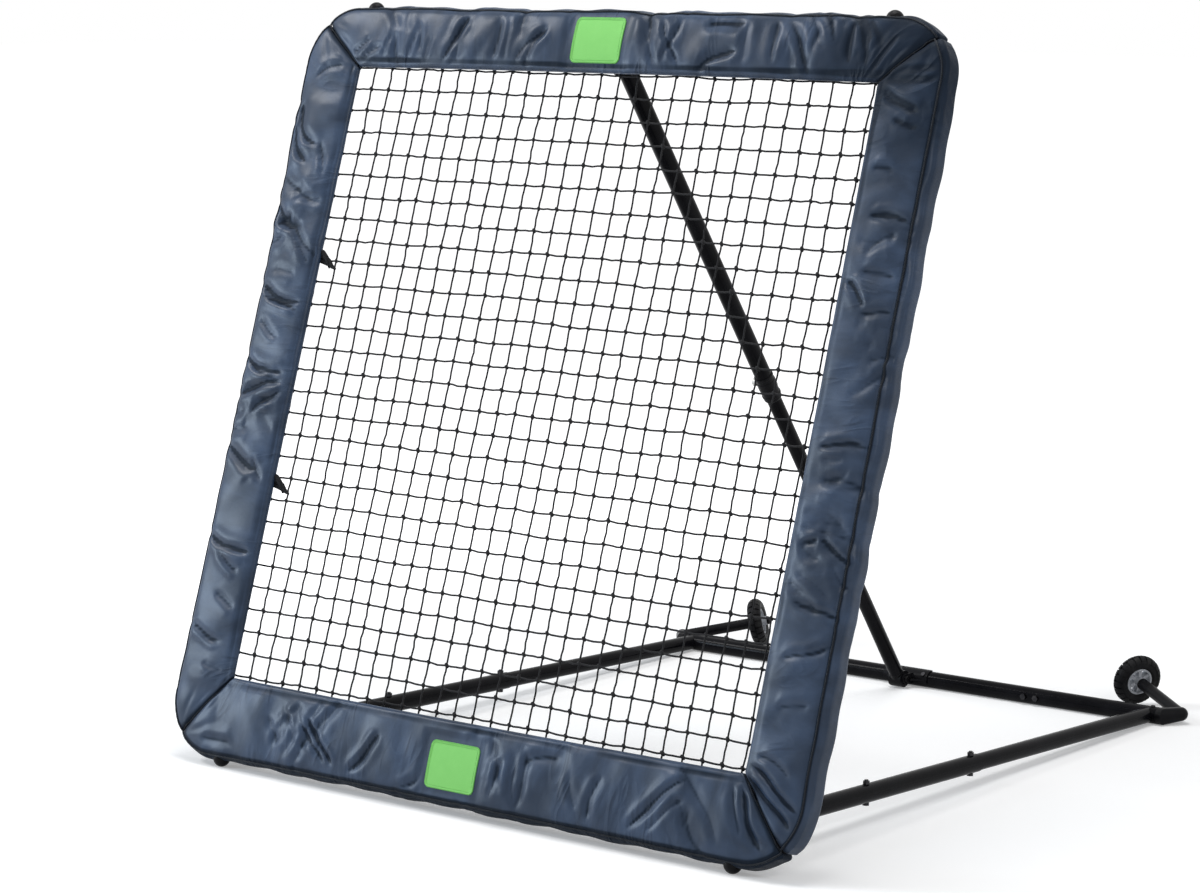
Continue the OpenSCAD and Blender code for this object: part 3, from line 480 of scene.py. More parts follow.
def swept(name, routes, radius, sides=8, closed=False, taper=None):
    """Closed tubes along routes of points, mapped (turns around, metres along)."""
    strips = []
    for route in routes:
        points = [Vector(p) for p in route]
        count = len(points)
        lengths = walked(points)
        normal = None
        rings = []
        for i, point in enumerate(points):
            if closed:
                ahead = points[(i + 1) % count] - points[i - 1]
            else:
                ahead = points[min(i + 1, count - 1)] - points[max(i - 1, 0)]
            ahead.normalize()
            if normal is None:
                normal = ahead.orthogonal().normalized()
            normal = (normal - ahead * normal.dot(ahead)).normalized()
            side = ahead.cross(normal)
            r = radius * (taper(i / (count - 1)) if taper else 1.0)
            turns = [2 * math.pi * k / sides for k in range(sides)]
            rings.append(([point + (normal * math.cos(a) + side * math.sin(a)) * r for a in turns],
                          lengths[i]))
        strips.append((rings, lengths[-1] + (points[0] - points[-1]).length))
    return skin(name, strips, [k / sides for k in range(sides + 1)], 60, closed)


# ---------------------------------------------------------------- pads: outline and grid

def crown(s, band):
    """Front of a pad at distance s from its outer edge."""
    return PAD_FRONT - CROWN * ((s - band / 2) / (band / 2 - EDGE_R)) ** 2


def bow(cs, cf, rs, rf, a0, a1, count):
    """Points of an elliptic arc round (cs, cf), its angles in degrees."""
    turns = [math.radians(a0 + (a1 - a0) * k / count) for k in range(count + 1)]
    return [(cs + rs * math.cos(a), cf + rf * math.sin(a)) for a in turns]


def pad_section(band):
    """Closed outline of a pad as (distance from the outer edge, distance to the front).

    The first list runs from the tube round the back flap, the outer wall, the
    crowned front and the inner edge to the back of the front board. The
    second goes on round the tube.
    """
    seat = TUBE_R + 0.0008
    hug = bow(PAD_OVER, 0, seat, seat, 270, 66, 14)
    tip = FLAP - 0.002
    back = [(tip, -seat), (FLAP, -0.0228), (tip, -PAD_BACK)]
    back += [(tip - (FLAP - 0.008) * k / 5, -PAD_BACK) for k in range(1, 6)]
    back += bow(EDGE_R, EDGE_R - PAD_BACK, EDGE_R, EDGE_R, 270, 180, 3)[1:]
    wall_top = crown(EDGE_R, band) - EDGE_R
    wall = [(0, EDGE_R - PAD_BACK + (wall_top + PAD_BACK - EDGE_R) * k / 6) for k in range(1, 6)]
    edge = bow(EDGE_R, wall_top, EDGE_R, EDGE_R, 180, 90, 3)
    reach = band - EDGE_R - HEM_R
    count = round(reach / POINTS_S)
    places = [EDGE_R + reach * k / count for k in range(1, count)]
    front = [(s, crown(s, band)) for s in places]
    hem = band - HEM_R
    high = crown(hem, band)
    inner = bow(hem, (high + BOARD) / 2, HEM_R, (high - BOARD) / 2, 90, -90, 6)
    last = hug[-1][0] + 0.008
    rear = [(hem - (hem - last) * k / 9, BOARD) for k in range(1, 10)]
    return np.array(back + wall + edge + front + inner + rear), np.array(hug[::-1])


def mitre_path(s, part, other, band):
    """Points (distance from the side edge, depth) of one line round a corner.

    part runs from 0 on the straight to 1 at the mitre seam.
    """
    r = CORNER_R
    near = Vector((r * (1 - math.sqrt(0.5)),) * 2)
    run = Vector((other, band)) - near
    centre = Vector((r, r))

    def on_seam(depth):
        a, b = run.dot(run), (near - centre).dot(run)
        c = r * r - (r - depth) ** 2
        return (-b - math.sqrt(max(b * b - a * c, 0.0))) / a

    turn = 0.060  # the lines outside it follow the tube's bend, the others cut the corner
    if s <= turn:
        k = on_seam(s)
        leave = r
    else:
        share = (s - turn) / (band - turn)
        k = on_seam(turn) + (1 - on_seam(turn)) * share
        leave = r + 0.055 * share
    seam = near + run * k
    start = r + CORNER_RUN
    rise = seam.y - s
    if rise < 1e-6:
        return [(start - q * (start - seam.x), s) for q in part]
    flat = start - leave
    bend = 2 * math.atan2(rise, leave - seam.x)
    radius = ((leave - seam.x) ** 2 + rise ** 2) / (2 * rise)
    out = []
    for q in part:
        d = q * (flat + radius * bend)
        if d <= flat:
            out.append((start - d, s))
        else:
            a = (d - flat) / radius
            out.append((leave - radius * math.sin(a), s + radius * (1 - math.cos(a))))
    return out


def half_length(kind):
    return (FRAME_H if kind == SIDE else FRAME_W) / 2 + PAD_OVER


def pad_grid(kind, outline):
    """Stations along by outline points round, as (x, depth, front) in pad space."""
    half = half_length(kind)
    low = BAND[BOTTOM] if kind == SIDE else BAND[SIDE]
    high = BAND[TOP] if kind == SIDE else BAND[SIDE]
    ends = 26
    part = [k / ends for k in range(1, ends + 1)]
    straight = half - (CORNER_R + CORNER_RUN)
    steps = round(2 * straight / POINTS_X)
    grid = np.zeros((steps + 1 + 2 * ends, len(outline), 3))
    for j, (s, f) in enumerate(outline):
        a = mitre_path(s, part, low, BAND[kind])
        b = mitre_path(s, part, high, BAND[kind])
        xs = [-half + e for e, _ in a[::-1]] + list(np.linspace(-straight, straight, steps + 1))
        ys = [d for _, d in a[::-1]] + [s] * (steps + 1) + [d for _, d in b]
        xs += [half - e for e, _ in b]
        grid[:, j, 0], grid[:, j, 1], grid[:, j, 2] = xs, ys, f
    # A hair of air at each mitre, so that neighbouring pads only touch.
    grid[0, :, 0] += 0.0010
    grid[-1, :, 0] -= 0.0010
    return grid


class Pad:
    """One sleeve pad as a grid of points in pad space: x along it, depth, distance to the front."""

    def __init__(self, name, kind, mirrored, seed):
        self.name, self.kind, self.mirrored, self.seed = name, kind, mirrored, seed
        self.band = BAND[kind]
        self.loop, hug = pad_section(self.band)
        self.grid = pad_grid(kind, np.vstack([self.loop, hug]))
        self.rows, self.cols, _ = self.grid.shape
        self.flat = self.grid.reshape(-1, 3)
        self.x = self.flat[:, 0]
        self.span = self.x.max()
        self.outline = self.grid[self.rows // 2, :, 1:]
        self.s = np.tile(self.outline[:, 0], self.rows)
        front = self.outline[:, 1] > crown(EDGE_R, self.band) - 0.008
        shown = np.arange(self.cols) < len(self.loop)
        self.outside = np.tile(shown, self.rows)
        self.front = np.tile(front & shown, self.rows)
        station = np.repeat(np.arange(self.rows), self.cols)
        self.edge = np.minimum(station, self.rows - 1 - station)
        index = np.arange(self.rows * self.cols).reshape(self.rows, self.cols)
        beside = np.roll(index, -1, axis=1)
        # Faces turn inwards here, and the two ends come last.
        self.quads = np.stack([index[:-1], beside[:-1], beside[1:], index[1:]], -1).reshape(-1, 4)
        self.faces = self.quads.tolist() + [index[0, ::-1].tolist(), index[-1].tolist()]
        # The right-hand pad's front and outer wall meet further in.
        right = kind == SIDE and not mirrored
        self.piping_depth = 0.0105 if right else 0.0060
        self.groove = 0.0016 if right else 0.0004

    def in_world(self, p):
        """Pad space to the world for an array of points."""
        x, y, f = p[..., 0], p[..., 1], p[..., 2]
        if self.kind == BOTTOM:
            v = y - PAD_OVER
        elif self.kind == TOP:
            v = FRAME_H + PAD_OVER - y
        else:
            x, v = FRAME_W / 2 + PAD_OVER - y, FRAME_H / 2 + x
            if self.mirrored:
                x = x * -1
        return np.stack(on_panel(x, v, f), -1)

    def front_columns(self):
        """Outline points on the front and its rounded edges."""
        return [j for j, (_, f) in enumerate(self.loop) if f > crown(EDGE_R, self.band) - 0.009]


# ---------------------------------------------------------------- pads: folds

# Main folds in pad space: start x and y, end x and y and width in mm, depth in 0.1 mm,
# bend in hundredths.
FOLDS = {
    "pad_top": [
        (-600, 112, -585, 40, 6, 24, 5), (-560, 120, -575, 45, 6, 26, -6), (-530, 116, -518, 40, 6, 28, 4),
        (-497, 100, -522, 28, 6, 26, 8), (-480, 118, -472, 60, 6, 22, 0), (-437, 117, -379, 18, 8, 56, 6),
        (-294, 115, -290, 15, 10, 34, 5), (-262, 112, -266, 22, 6, 22, 3),
        (-239, 116, -154, 45, 9, 40, -5), (-205, 110, -160, 35, 7, 28, 3), (132, 18, 190, 118, 6, 36, 0),
        (186, 14, 150, 112, 6, 34, 3), (110, 60, 128, 118, 6, 22, 0), (235, 30, 345, 26, 13, 50, 3),
        (240, 124, 341, 80, 10, 54, -10), (345, 112, 350, 20, 10, 26, 3), (420, 112, 414, 20, 8, 34, 3),
        (505, 100, 520, 30, 10, 22, 3), (598, 100, 594, 18, 7, 44, 2), (640, 104, 632, 30, 7, 26, 0),
        (648, 118, 700, 40, 6, 34, 5), (-690, 108, -645, 70, 6, 34, 5), (-668, 118, -600, 90, 6, 30, -5)],
    "pad_bottom": [
        (-437, 124, -336, 30, 6, 70, 4), (-458, 122, -356, 28, 6, 44, 3), (-500, 140, -455, 60, 7, 28, 5),
        (-299, 26, -221, 118, 9, 58, -4), (-160, 20, -88, 95, 10, 36, -20),
        (-545, 110, -500, 50, 8, 24, 10), (85, 30, 110, 120, 9, 34, 5), (150, 110, 245, 140, 12, 36, 5),
        (330, 28, 348, 125, 9, 34, 3), (300, 40, 270, 120, 8, 24, 3), (418, 22, 550, 142, 9, 44, 3),
        (470, 30, 560, 110, 7, 32, 3), (672, 150, 742, 34, 9, 70, -5), (650, 152, 690, 50, 8, 36, 3),
        (-720, 40, -620, 30, 10, 30, 5)],
    "pad_right": [
        (690, 136, 717, 22, 7, 46, 5), (684, 140, 694, 15, 8, 56, 2), (678, 142, 626, 45, 9, 60, -5),
        (610, 100, 596, 40, 8, 30, 0), (520, 125, 512, 70, 8, 26, 0), (426, 112, 416, 10, 8, 46, 3),
        (318, 104, 303, 20, 9, 34, 4), (300, 138, 248, 80, 8, 52, 5), (236, 94, 239, 16, 8, 38, 3),
        (-18, 124, -14, 12, 8, 50, 2), (-40, 120, -46, 60, 7, 26, 0), (-209, 124, -193, 84, 7, 38, 0),
        (-193, 88, -236, 6, 8, 48, 3), (-314, 124, -342, 10, 8, 44, 3), (-427, 122, -386, 12, 9, 40, -3),
        (-520, 110, -500, 30, 10, 30, 3), (-648, 152, -742, 30, 10, 90, 5),
        (-628, 146, -708, 18, 9, 66, 5), (-605, 130, -640, 40, 8, 36, 3)],
    "pad_left": [
        (690, 120, 655, 40, 9, 34, 5), (600, 20, 505, 95, 13, 62, 18), (552, 14, 462, 72, 11, 56, 10),
        (520, 100, 440, 130, 8, 30, 5), (440, 12, 400, 80, 10, 36, 6), (378, 14, 322, 78, 13, 78, 15),
        (315, 10, 362, 66, 9, 42, 5), (290, 90, 250, 135, 8, 30, 0), (196, 8, 158, 142, 10, 78, 5),
        (178, 20, 146, 136, 7, 44, 5), (120, 30, 80, 100, 9, 34, 5), (42, 6, 4, 132, 10, 72, 8),
        (22, 30, -8, 110, 7, 36, 4), (-52, 6, -14, 136, 10, 78, -8), (-25, 142, -88, 60, 8, 46, 5),
        (-150, 8, -202, 112, 13, 66, 10), (-180, 90, -230, 130, 8, 30, 0), (-350, 8, -386, 146, 9, 72, 4),
        (-380, 40, -424, 122, 8, 40, 4), (-470, 60, -500, 130, 9, 28, 3), (-545, 14, -576, 118, 8, 42, 5),
        (-620, 70, -640, 130, 7, 24, 0)],
}


def main_folds(name):
    """A pad's main folds in metres: start, end, width, depth and bend."""
    return [((ax / 1000, ay / 1000), (bx / 1000, by / 1000), width / 1000, depth / 10000, bend / 100)
            for ax, ay, bx, by, width, depth, bend in FOLDS[name]]


def random_folds(pad, count):
    """Short soft creases across a sleeve, in clusters and closer together towards its ends."""
    rng = random.Random(pad.seed)
    band = pad.band
    folds = []
    while len(folds) < count:
        heart = rng.uniform(-1, 1)
        heart = math.copysign(abs(heart) ** 0.8, heart) * (half_length(pad.kind) - 0.19)
        lean = rng.gauss(0, 0.4)
        for _ in range(rng.randint(2, 4)):
            x = heart + rng.gauss(0, 0.028)
            slope = lean + rng.gauss(0, 0.25)
            top = rng.uniform(0.10, 0.45) * band
            bottom = rng.uniform(0.60, 1.02) * band
            if rng.random() < 0.4:
                top, bottom = rng.uniform(-0.05, 0.10) * band, rng.uniform(0.28, 0.6) * band
            reach = bottom - top
            folds.append(((x - slope * reach / 2, top), (x + slope * reach / 2, bottom),
                          rng.uniform(0.008, 0.015), rng.uniform(0.0014, 0.0032),
                          rng.uniform(-0.10, 0.10)))
    return folds


def fold(p, a, b, width, depth, bend):
    """A crease from a to b at points p: its depth, and how near each point is to its line.

    It is a valley between two soft ridges, deepest and widest at one place
    along it, and runs out to points.
    """
    a, b = np.array(a), np.array(b)
    luck = (abs(a[0]) * 57.3 + b[1] * 91.7) % 1.0
    peak = 0.32 + 0.36 * luck
    d = b - a
    long = np.linalg.norm(d)
    d = d / long
    n = np.array([-d[1], d[0]])
    t = ((p - a) @ d) / long
    off = (p - a) @ n - bend * long * (t - t * t) * 4 + 0.025 * long * np.sin(6.0 * t + 6.3 * luck)
    swell = np.clip(np.where(t < peak, t / peak, (1 - t) / (1 - peak)) * 2.4, 0, 1)
    swell = swell * swell * (3 - 2 * swell)
    u = np.clip(off / (width * (0.50 + 0.35 * swell)), -6, 6)
    sink = depth * swell * (np.exp(-np.abs(u) ** 1.4) - 0.60 * np.exp(-((u - 2.0) / 1.2) ** 2)
                            - 0.30 * np.exp(-((u + 2.3) / 1.5) ** 2))
    sharp = min(1.0, (depth / 0.0052) ** 2)
    # How near a point is to the fold's line; this is painted darker later as shade along the valley.
    line = np.exp(-(off / (0.0019 + 0.0012 * swell)) ** 2) * swell ** 0.6 * sharp
    return sink, line


def all_folds(pad, p):
    """What a pad's folds do at points p: how deep they sink, their lines, and the notches at its edge."""
    sink, lines, notch = np.zeros(len(p)), np.zeros(len(p)), np.zeros(len(p))
    for a, b, width, depth, bend in main_folds(pad.name) + random_folds(pad, 22):
        deep, line = fold(p, a, b, width, depth, bend)
        sink += deep
        lines += line
        if a[1] < 0.021:
            notch += depth * 0.55 * np.exp(-((p[:, 0] - a[0]) / 0.009) ** 2)
    sink = np.where(sink > 0, 0.012 * np.tanh(sink / 0.012), 0.005 * np.tanh(sink / 0.005))
    return sink, np.clip(lines, 0, 1), np.clip(notch, 0, NOTCH_DEEP)


def billows(p, seed):
    """Soft swells of a loosely filled sleeve, mostly across it, from -1 to 1."""
    rng = random.Random(seed * 7 + 1)
    heave = np.zeros(len(p))
    for _ in range(18):
        turn, long = rng.gauss(0, 0.45), rng.uniform(0.045, 0.17)
        d = p[:, 0] * math.cos(turn) + p[:, 1] * math.sin(turn)
        heave += np.sin(2 * math.pi * d / long + rng.uniform(0, 6.3)) * long / 0.17
    return np.clip(heave / 3.6, -1, 1)


def quiet(kind, p):
    """1 over a patch, where the cloth is held flat, and 0 away from it."""
    if kind == SIDE:
        return np.zeros(p.shape[:-1])
    cx, cy = PATCH_AT[kind]
    far = np.maximum(np.abs(p[..., 0] - cx) / (PATCH_W / 2 + 0.010),
                     np.abs(p[..., 1] - cy) / (PATCH_H / 2 + 0.010))
    return np.clip((1.25 - far) / 0.25, 0, 1)


# ---------------------------------------------------------------- pads: sewing, swelling and cutting

def gathered(pad):
    """The shell cut longer than the frame, unevenly, so that it gathers."""
    rng = np.random.RandomState(pad.seed)
    waves = sum(rng.uniform(0.3, 1) * np.sin(pad.x * k * math.pi / pad.span + rng.uniform(0, 6.3)
                                             + pad.flat[:, 1] * rng.uniform(-25, 25))
                for k in range(2, 9)) / 4
    cut = pad.flat.copy()
    cut[:, 0] *= 1.035
    cut[:, 0] += 0.010 * waves
    return cut


def held_weights(pad):
    """How firmly each point is held: by the tube, at the two seams and on the front board."""
    held = np.where(pad.outside, 0.0, 1.0)
    held = np.maximum(held, np.where(pad.edge == 0, 1.0, np.where(pad.edge == 1, 0.5, 0.0)))
    rear = np.tile(pad.outline[:, 1] < BOARD + 0.001, pad.rows)
    return np.maximum(held, np.where(rear, 0.25, 0.0))


CLOTH_SETTINGS = dict(
    quality=5, mass=0.25, tension_stiffness=22, compression_stiffness=22, shear_stiffness=12,
    bending_stiffness=0.35, tension_damping=8, compression_damping=8, air_damping=2,
    use_pressure=True, uniform_pressure_force=1.0, vertex_group_mass="held", pin_stiffness=4)


def inflate(pad, limit=0.0045, frames=20):
    """Lets a sewn shell swell, up to a limit, as cloth that was cut to a larger shape."""
    mesh = bpy.data.meshes.new(pad.name + "_cloth")
    mesh.from_pydata(pad.flat.tolist(), [], [face[::-1] for face in pad.faces])
    shell = add_object(pad.name + "_cloth", mesh)
    shell.shape_key_add(name="sewn")
    key = shell.shape_key_add(name="cut")
    key.data.foreach_set("co", gathered(pad).astype(np.float32).ravel())
    key.value = 0.0
    group = shell.vertex_groups.new(name="held")
    for i, weight in enumerate(held_weights(pad)):
        if weight > 0.01:
            group.add([i], float(weight), "REPLACE")
    cloth = shell.modifiers.new("cloth", "CLOTH")
    for setting, value in CLOTH_SETTINGS.items():
        setattr(cloth.settings, setting, value)
    cloth.settings.effector_weights.gravity = 0
    cloth.settings.rest_shape_key = key
    cloth.collision_settings.use_collision = False
    cloth.collision_settings.use_self_collision = False
    cloth.point_cache.frame_start, cloth.point_cache.frame_end = 1, frames
    for step in range(1, frames + 1):
        scene.frame_set(step)
    out = np.zeros(len(pad.flat) * 3, dtype=np.float32)
    evaluated(shell).data.vertices.foreach_get("co", out)
    bpy.data.objects.remove(shell)
    scene.frame_set(1)
    move = out.reshape(-1, 3).astype(float) - pad.flat
    size = np.linalg.norm(move, axis=1, keepdims=True)
    return pad.flat + move * (limit * np.tanh(size / limit)) / np.maximum(size, 1e-9)


def hem_pull(pad):
    """How much its hem draws the inner edge in, unevenly along it."""
    wide = 0.0048 if pad.kind == TOP else 0.0036
    drawn = np.exp(-(((pad.band - HEM_IN) - pad.flat[:, 1]) / wide) ** 2)
    drawn *= 0.65 + 0.35 * np.sin(pad.x * 23 + pad.seed * 1.7) * np.sin(pad.x * 9.1 + pad.seed)
    return np.where(pad.front & (pad.edge > 2), drawn, 0) * (0.75 if pad.kind == SIDE else 1.2)


def shade(pad):
    """Painted shade: darker cloth under the bottom piping and towards the right-hand top corner."""
    if pad.kind == BOTTOM:
        return np.clip((0.0190 - pad.s) / 0.0080, 0, 1) * 0.8 * pad.outside
    if pad.mirrored:
        return 0.0
    return 0.60 * np.clip((pad.x - (pad.span - 0.42)) / 0.34, 0, 1)


def bend_wall(pad, shape, notch):
    """Arches the top pad between its corners, and scallops and notches the outer wall."""
    x, s, seed = pad.x, pad.s, pad.seed
    if pad.kind == TOP:
        away = np.clip(1 - np.abs(x) / (pad.span - 0.10), 0, 1)
        rise = np.clip(away * 6, 0, 1) * np.clip((0.060 - s) / 0.060, 0, 1)
        shape[:, 1] -= rise * ARCH * (0.8 + 0.2 * np.sin(x * 37 + 1.0)) * pad.outside
    wall = (s < EDGE_R) & pad.outside & (pad.edge > 2)
    ripple = np.sin(x * 41 + seed) * np.sin(x * 17.3 + 1.7 * seed) * SCALLOP
    shape[:, 1] += np.where(wall, ripple, 0)
    near = np.clip((NOTCH_REACH - s) / NOTCH_REACH, 0, 1) * pad.outside * (pad.edge > 3)
    shape[:, 1] += notch * near
    shape[:, 1] = np.maximum(shape[:, 1], -0.009 if pad.kind == TOP else -0.004)


def creased(pad, swollen):
    """The swollen shell with folds, seams, hem and piping groove, and the painted shade and highlight at
    each point.
    """
    s, front = pad.s, pad.front
    calm = quiet(pad.kind, pad.flat)[:, None]
    shape = swollen * (1 - 0.85 * calm) + pad.flat * 0.85 * calm
    weight = np.where(front, 1.0, 0.0) * (1 - calm[:, 0])
    sink, lines, notch = all_folds(pad, shape[:, :2])
    middle = np.sin(np.clip(s / pad.band, 0, 1) * math.pi) ** 0.6
    swell = billows(shape[:, :2], pad.seed) * weight * middle
    shape[:, 2] += BILLOW * swell - sink * weight
    seam = np.where(front, np.exp(-((pad.edge / 1.5) ** 2)), 0)
    shape[:, 2] -= seam * SEAM_DIP
    drawn = hem_pull(pad)
    shape[:, 2] -= drawn * HEM_DIP
    roll = np.clip((ROLL - s) / ROLL, 0, 1) ** 2
    groove = np.where(front, np.exp(-((s - pad.piping_depth) / 0.0030) ** 2), 0)
    shape[:, 2] -= np.where(front, roll * ROLL_DROP + groove * pad.groove, 0)
    # The cloth lies on its tube where a fold would sink below it.
    rest = np.sqrt(np.clip((TUBE_R + CLOTH) ** 2 - (s - PAD_OVER) ** 2, 0, None))
    shape[:, 2] = np.where(front, np.maximum(shape[:, 2], rest), shape[:, 2])
    bend_wall(pad, shape, notch)
    # Painted shade: darker in fold valleys, at the mitre seams, along the hem and in the piping groove;
    # painted highlight: below zero, and so lighter, on the swells and fold ridges.
    crease = np.clip(sink * weight / 0.020 - 0.12 * swell, -0.5, 0.4) + 0.9 * seam + 0.9 * drawn + groove
    # Painted shade along the fold lines, and the painted shade from shade().
    return shape, crease + lines * weight + shade(pad)


def pad_mesh(pad, shape, crease):
    """A pad's closed mesh, mapped (metres around, metres along) and marked with its painted shade and
    highlight in the crease attribute.
    """
    world = pad.in_world(shape)
    a, b, c, d = (world[pad.quads[:, k]] for k in range(4))
    inward = np.einsum("ij,ij->i", a, np.cross(b, c) + np.cross(c, d)).sum() < 0
    faces = [face[::-1] for face in pad.faces] if inward else pad.faces
    mesh = bpy.data.meshes.new(pad.name + "_sewn")
    mesh.from_pydata(world.tolist(), [], faces)
    around = [0, *np.cumsum(np.linalg.norm(np.diff(pad.outline, axis=0), axis=1))]
    middle = pad.grid[:, pad.cols // 2, :2]
    along = [0, *np.linalg.norm(np.diff(middle, axis=0), axis=1)]
    corner = np.zeros(len(mesh.loops), dtype=np.int32)
    mesh.loops.foreach_get("vertex_index", corner)
    uv = np.stack([np.tile(around, pad.rows)[corner],
                   np.repeat(np.cumsum(along), pad.cols)[corner]], 1)
    # The last step round goes on to the full way and not back to 0.
    last_step = np.repeat(np.arange(len(pad.quads)) % pad.cols == pad.cols - 1, 4)
    first_column = corner[:pad.quads.size] % pad.cols == 0
    uv[:pad.quads.size][last_step & first_column, 0] = around[-1] + np.linalg.norm(
        pad.grid[0, 0, 1:] - pad.grid[0, -1, 1:])
    mesh.uv_layers.new(name="UVMap").data.foreach_set("uv", uv.astype(np.float32).ravel())
    mark = mesh.attributes.new("crease", "FLOAT", "POINT")
    mark.data.foreach_set("value", np.clip(crease, -1, 1).astype(np.float32))
    return mesh


def cutters(kind):
    """Openings for the brackets and the corner caps: boxes and drums in panel space."""
    made = []

    def add(name, fill):
        work = bmesh.new()
        fill(work)
        mesh = bpy.data.meshes.new(name)
        work.to_mesh(mesh)
        work.free()
        made.append(mesh)

    def drum(x, low, high):
        at = Matrix.Translation((x, (low + high) / 2, 0)) @ Matrix.Rotation(math.pi / 2, 4, "X")
        add("drum", lambda work: bmesh.ops.create_cone(
            work, cap_ends=True, segments=40, radius1=CAP_ROOM, radius2=CAP_ROOM,
            depth=high - low, matrix=at))

    def block(x, v0, v1, w0=-0.060, w1=0.005):
        def fill(work):
            bmesh.ops.create_cube(work, size=1.0)
            for v in work.verts:
                v.co = Vector((x + v.co.x * 2 * STRAP_ROOM, (v0 + v1) / 2 + v.co.y * (v1 - v0),
                               (w0 + w1) / 2 + v.co.z * (w1 - w0)))
        add("block", fill)

    if kind == BOTTOM:
        for x in (-CAP_X, CAP_X):
            drum(x, -0.060, -0.002)
        for x in (-HINGE_X, HINGE_X):
            block(x, -0.040, 0.060)
    if kind == TOP:
        for x in (-CAP_X, CAP_X):
            drum(x, FRAME_H + 0.002, FRAME_H + 0.060)
        block(0, FRAME_H - 0.060, FRAME_H + 0.040)
    return made


def make_pad(name, kind, mirrored, seed):
    """One sleeve pad: a sewn shell that swells, creases and is cut for its hardware."""
    pad = Pad(name, kind, mirrored, seed)
    shape, crease = creased(pad, inflate(pad))
    pad.shape = shape.reshape(pad.rows, pad.cols, 3)
    sewn = add_object(name + "_sewn", pad_mesh(pad, shape, crease))
    smooth = sewn.modifiers.new("smooth", "SUBSURF")
    smooth.levels = smooth.render_levels = 1
    knives = []
    for tool in cutters(kind):
        tool.transform(PANEL)
        knives.append(add_object("knife", tool))
        opening = sewn.modifiers.new("opening", "BOOLEAN")
        opening.operation, opening.solver, opening.object = "DIFFERENCE", "MANIFOLD", knives[-1]
    mesh = bpy.data.meshes.new_from_object(evaluated(sewn))
    for used in [sewn, *knives]:
        bpy.data.objects.remove(used)
    mesh.name = name
    mesh.shade_smooth()
    mesh.set_sharp_from_angle(angle=math.radians(70))
    side = name.removeprefix("pad_")
    pad.piece = dressed(mesh, navy, "navy_fabric", "cover_" + side, "foam_" + side)
    return pad


pad_top = make_pad("pad_top", TOP, False, 3)
pad_bottom = make_pad("pad_bottom", BOTTOM, False, 8)
pad_right = make_pad("pad_right", SIDE, False, 5)
pad_left = make_pad("pad_left", SIDE, True, 12)


# ---------------------------------------------------------------- piping and seams

def piping_line(pad):
    """The piping's middle line on the front of a pad."""
    column = min(pad.front_columns(), key=lambda j: abs(pad.loop[j][0] - pad.piping_depth))
    line = pad.shape[:, column].copy()
    line[:, 2] += 0.0004
    return pad.in_world(line)


def seam_line(pad, row):
    """The turned-in mitre seam at one end of a pad."""
    shown = [j for j in pad.front_columns() if 0.004 < pad.loop[j][0] < pad.band - 0.004]
    line = pad.shape[row, shown].copy()
    line[:, 2] -= 0.0004
    return pad.in_world(line)


beads = [piping_line(pad) for pad in (pad_top, pad_bottom, pad_right, pad_left)]
# The piping and the seams are nearly black, painted shade for the piping groove.
dressed(swept("piping_bead", beads, PIPING_R), trim_painted_shade, "piping", "piping")
seams = [seam_line(pad, row) for pad in (pad_top, pad_bottom) for row in (0, -1)]
dressed(swept("mitre_seams", seams, SEAM_R), trim_painted_shade, "piping")


# ---------------------------------------------------------------- patches

def patch_outline(shrink):
    """A rounded oblong round the patch's middle, with points along its straight sides too."""
    w, h, r = PATCH_W / 2 - shrink, PATCH_H / 2 - shrink, max(PATCH_R - shrink, 0.0015)
    corners = [bow(qx * (w - r), qy * (h - r), r, r, turn, turn + 90, 6)
               for qx, qy, turn in ((1, 1, 0), (-1, 1, 90), (-1, -1, 180), (1, -1, 270))]
    points = []
    for arc, after in zip(corners, corners[1:] + corners[:1]):
        (ax, ay), (bx, by) = arc[-1], after[0]
        points += arc + [(ax + (bx - ax) * k / 8, ay + (by - ay) * k / 8) for k in range(1, 8)]
    return points


def stitch_row(lay, inset, pitch=0.0032, length=0.0021):
    """Short threads along the patch's outline, each from the cloth over its edge and back."""
    ring = [Vector(p) for p in patch_outline(inset)]
    stitches, ahead = [], 0.0
    for a, b in zip(ring, ring[1:] + ring[:1]):
        long = (b - a).length
        while ahead < long:
            p = a + (b - a) * (ahead / long)
            q = a + (b - a) * min((ahead + length) / long, 1.0)
            m = (p + q) / 2
            stitches.append([lay(p.x, p.y, 0.0009), lay(m.x, m.y, 0.0018), lay(q.x, q.y, 0.0009)])
            ahead += pitch
        ahead -= long
    return stitches


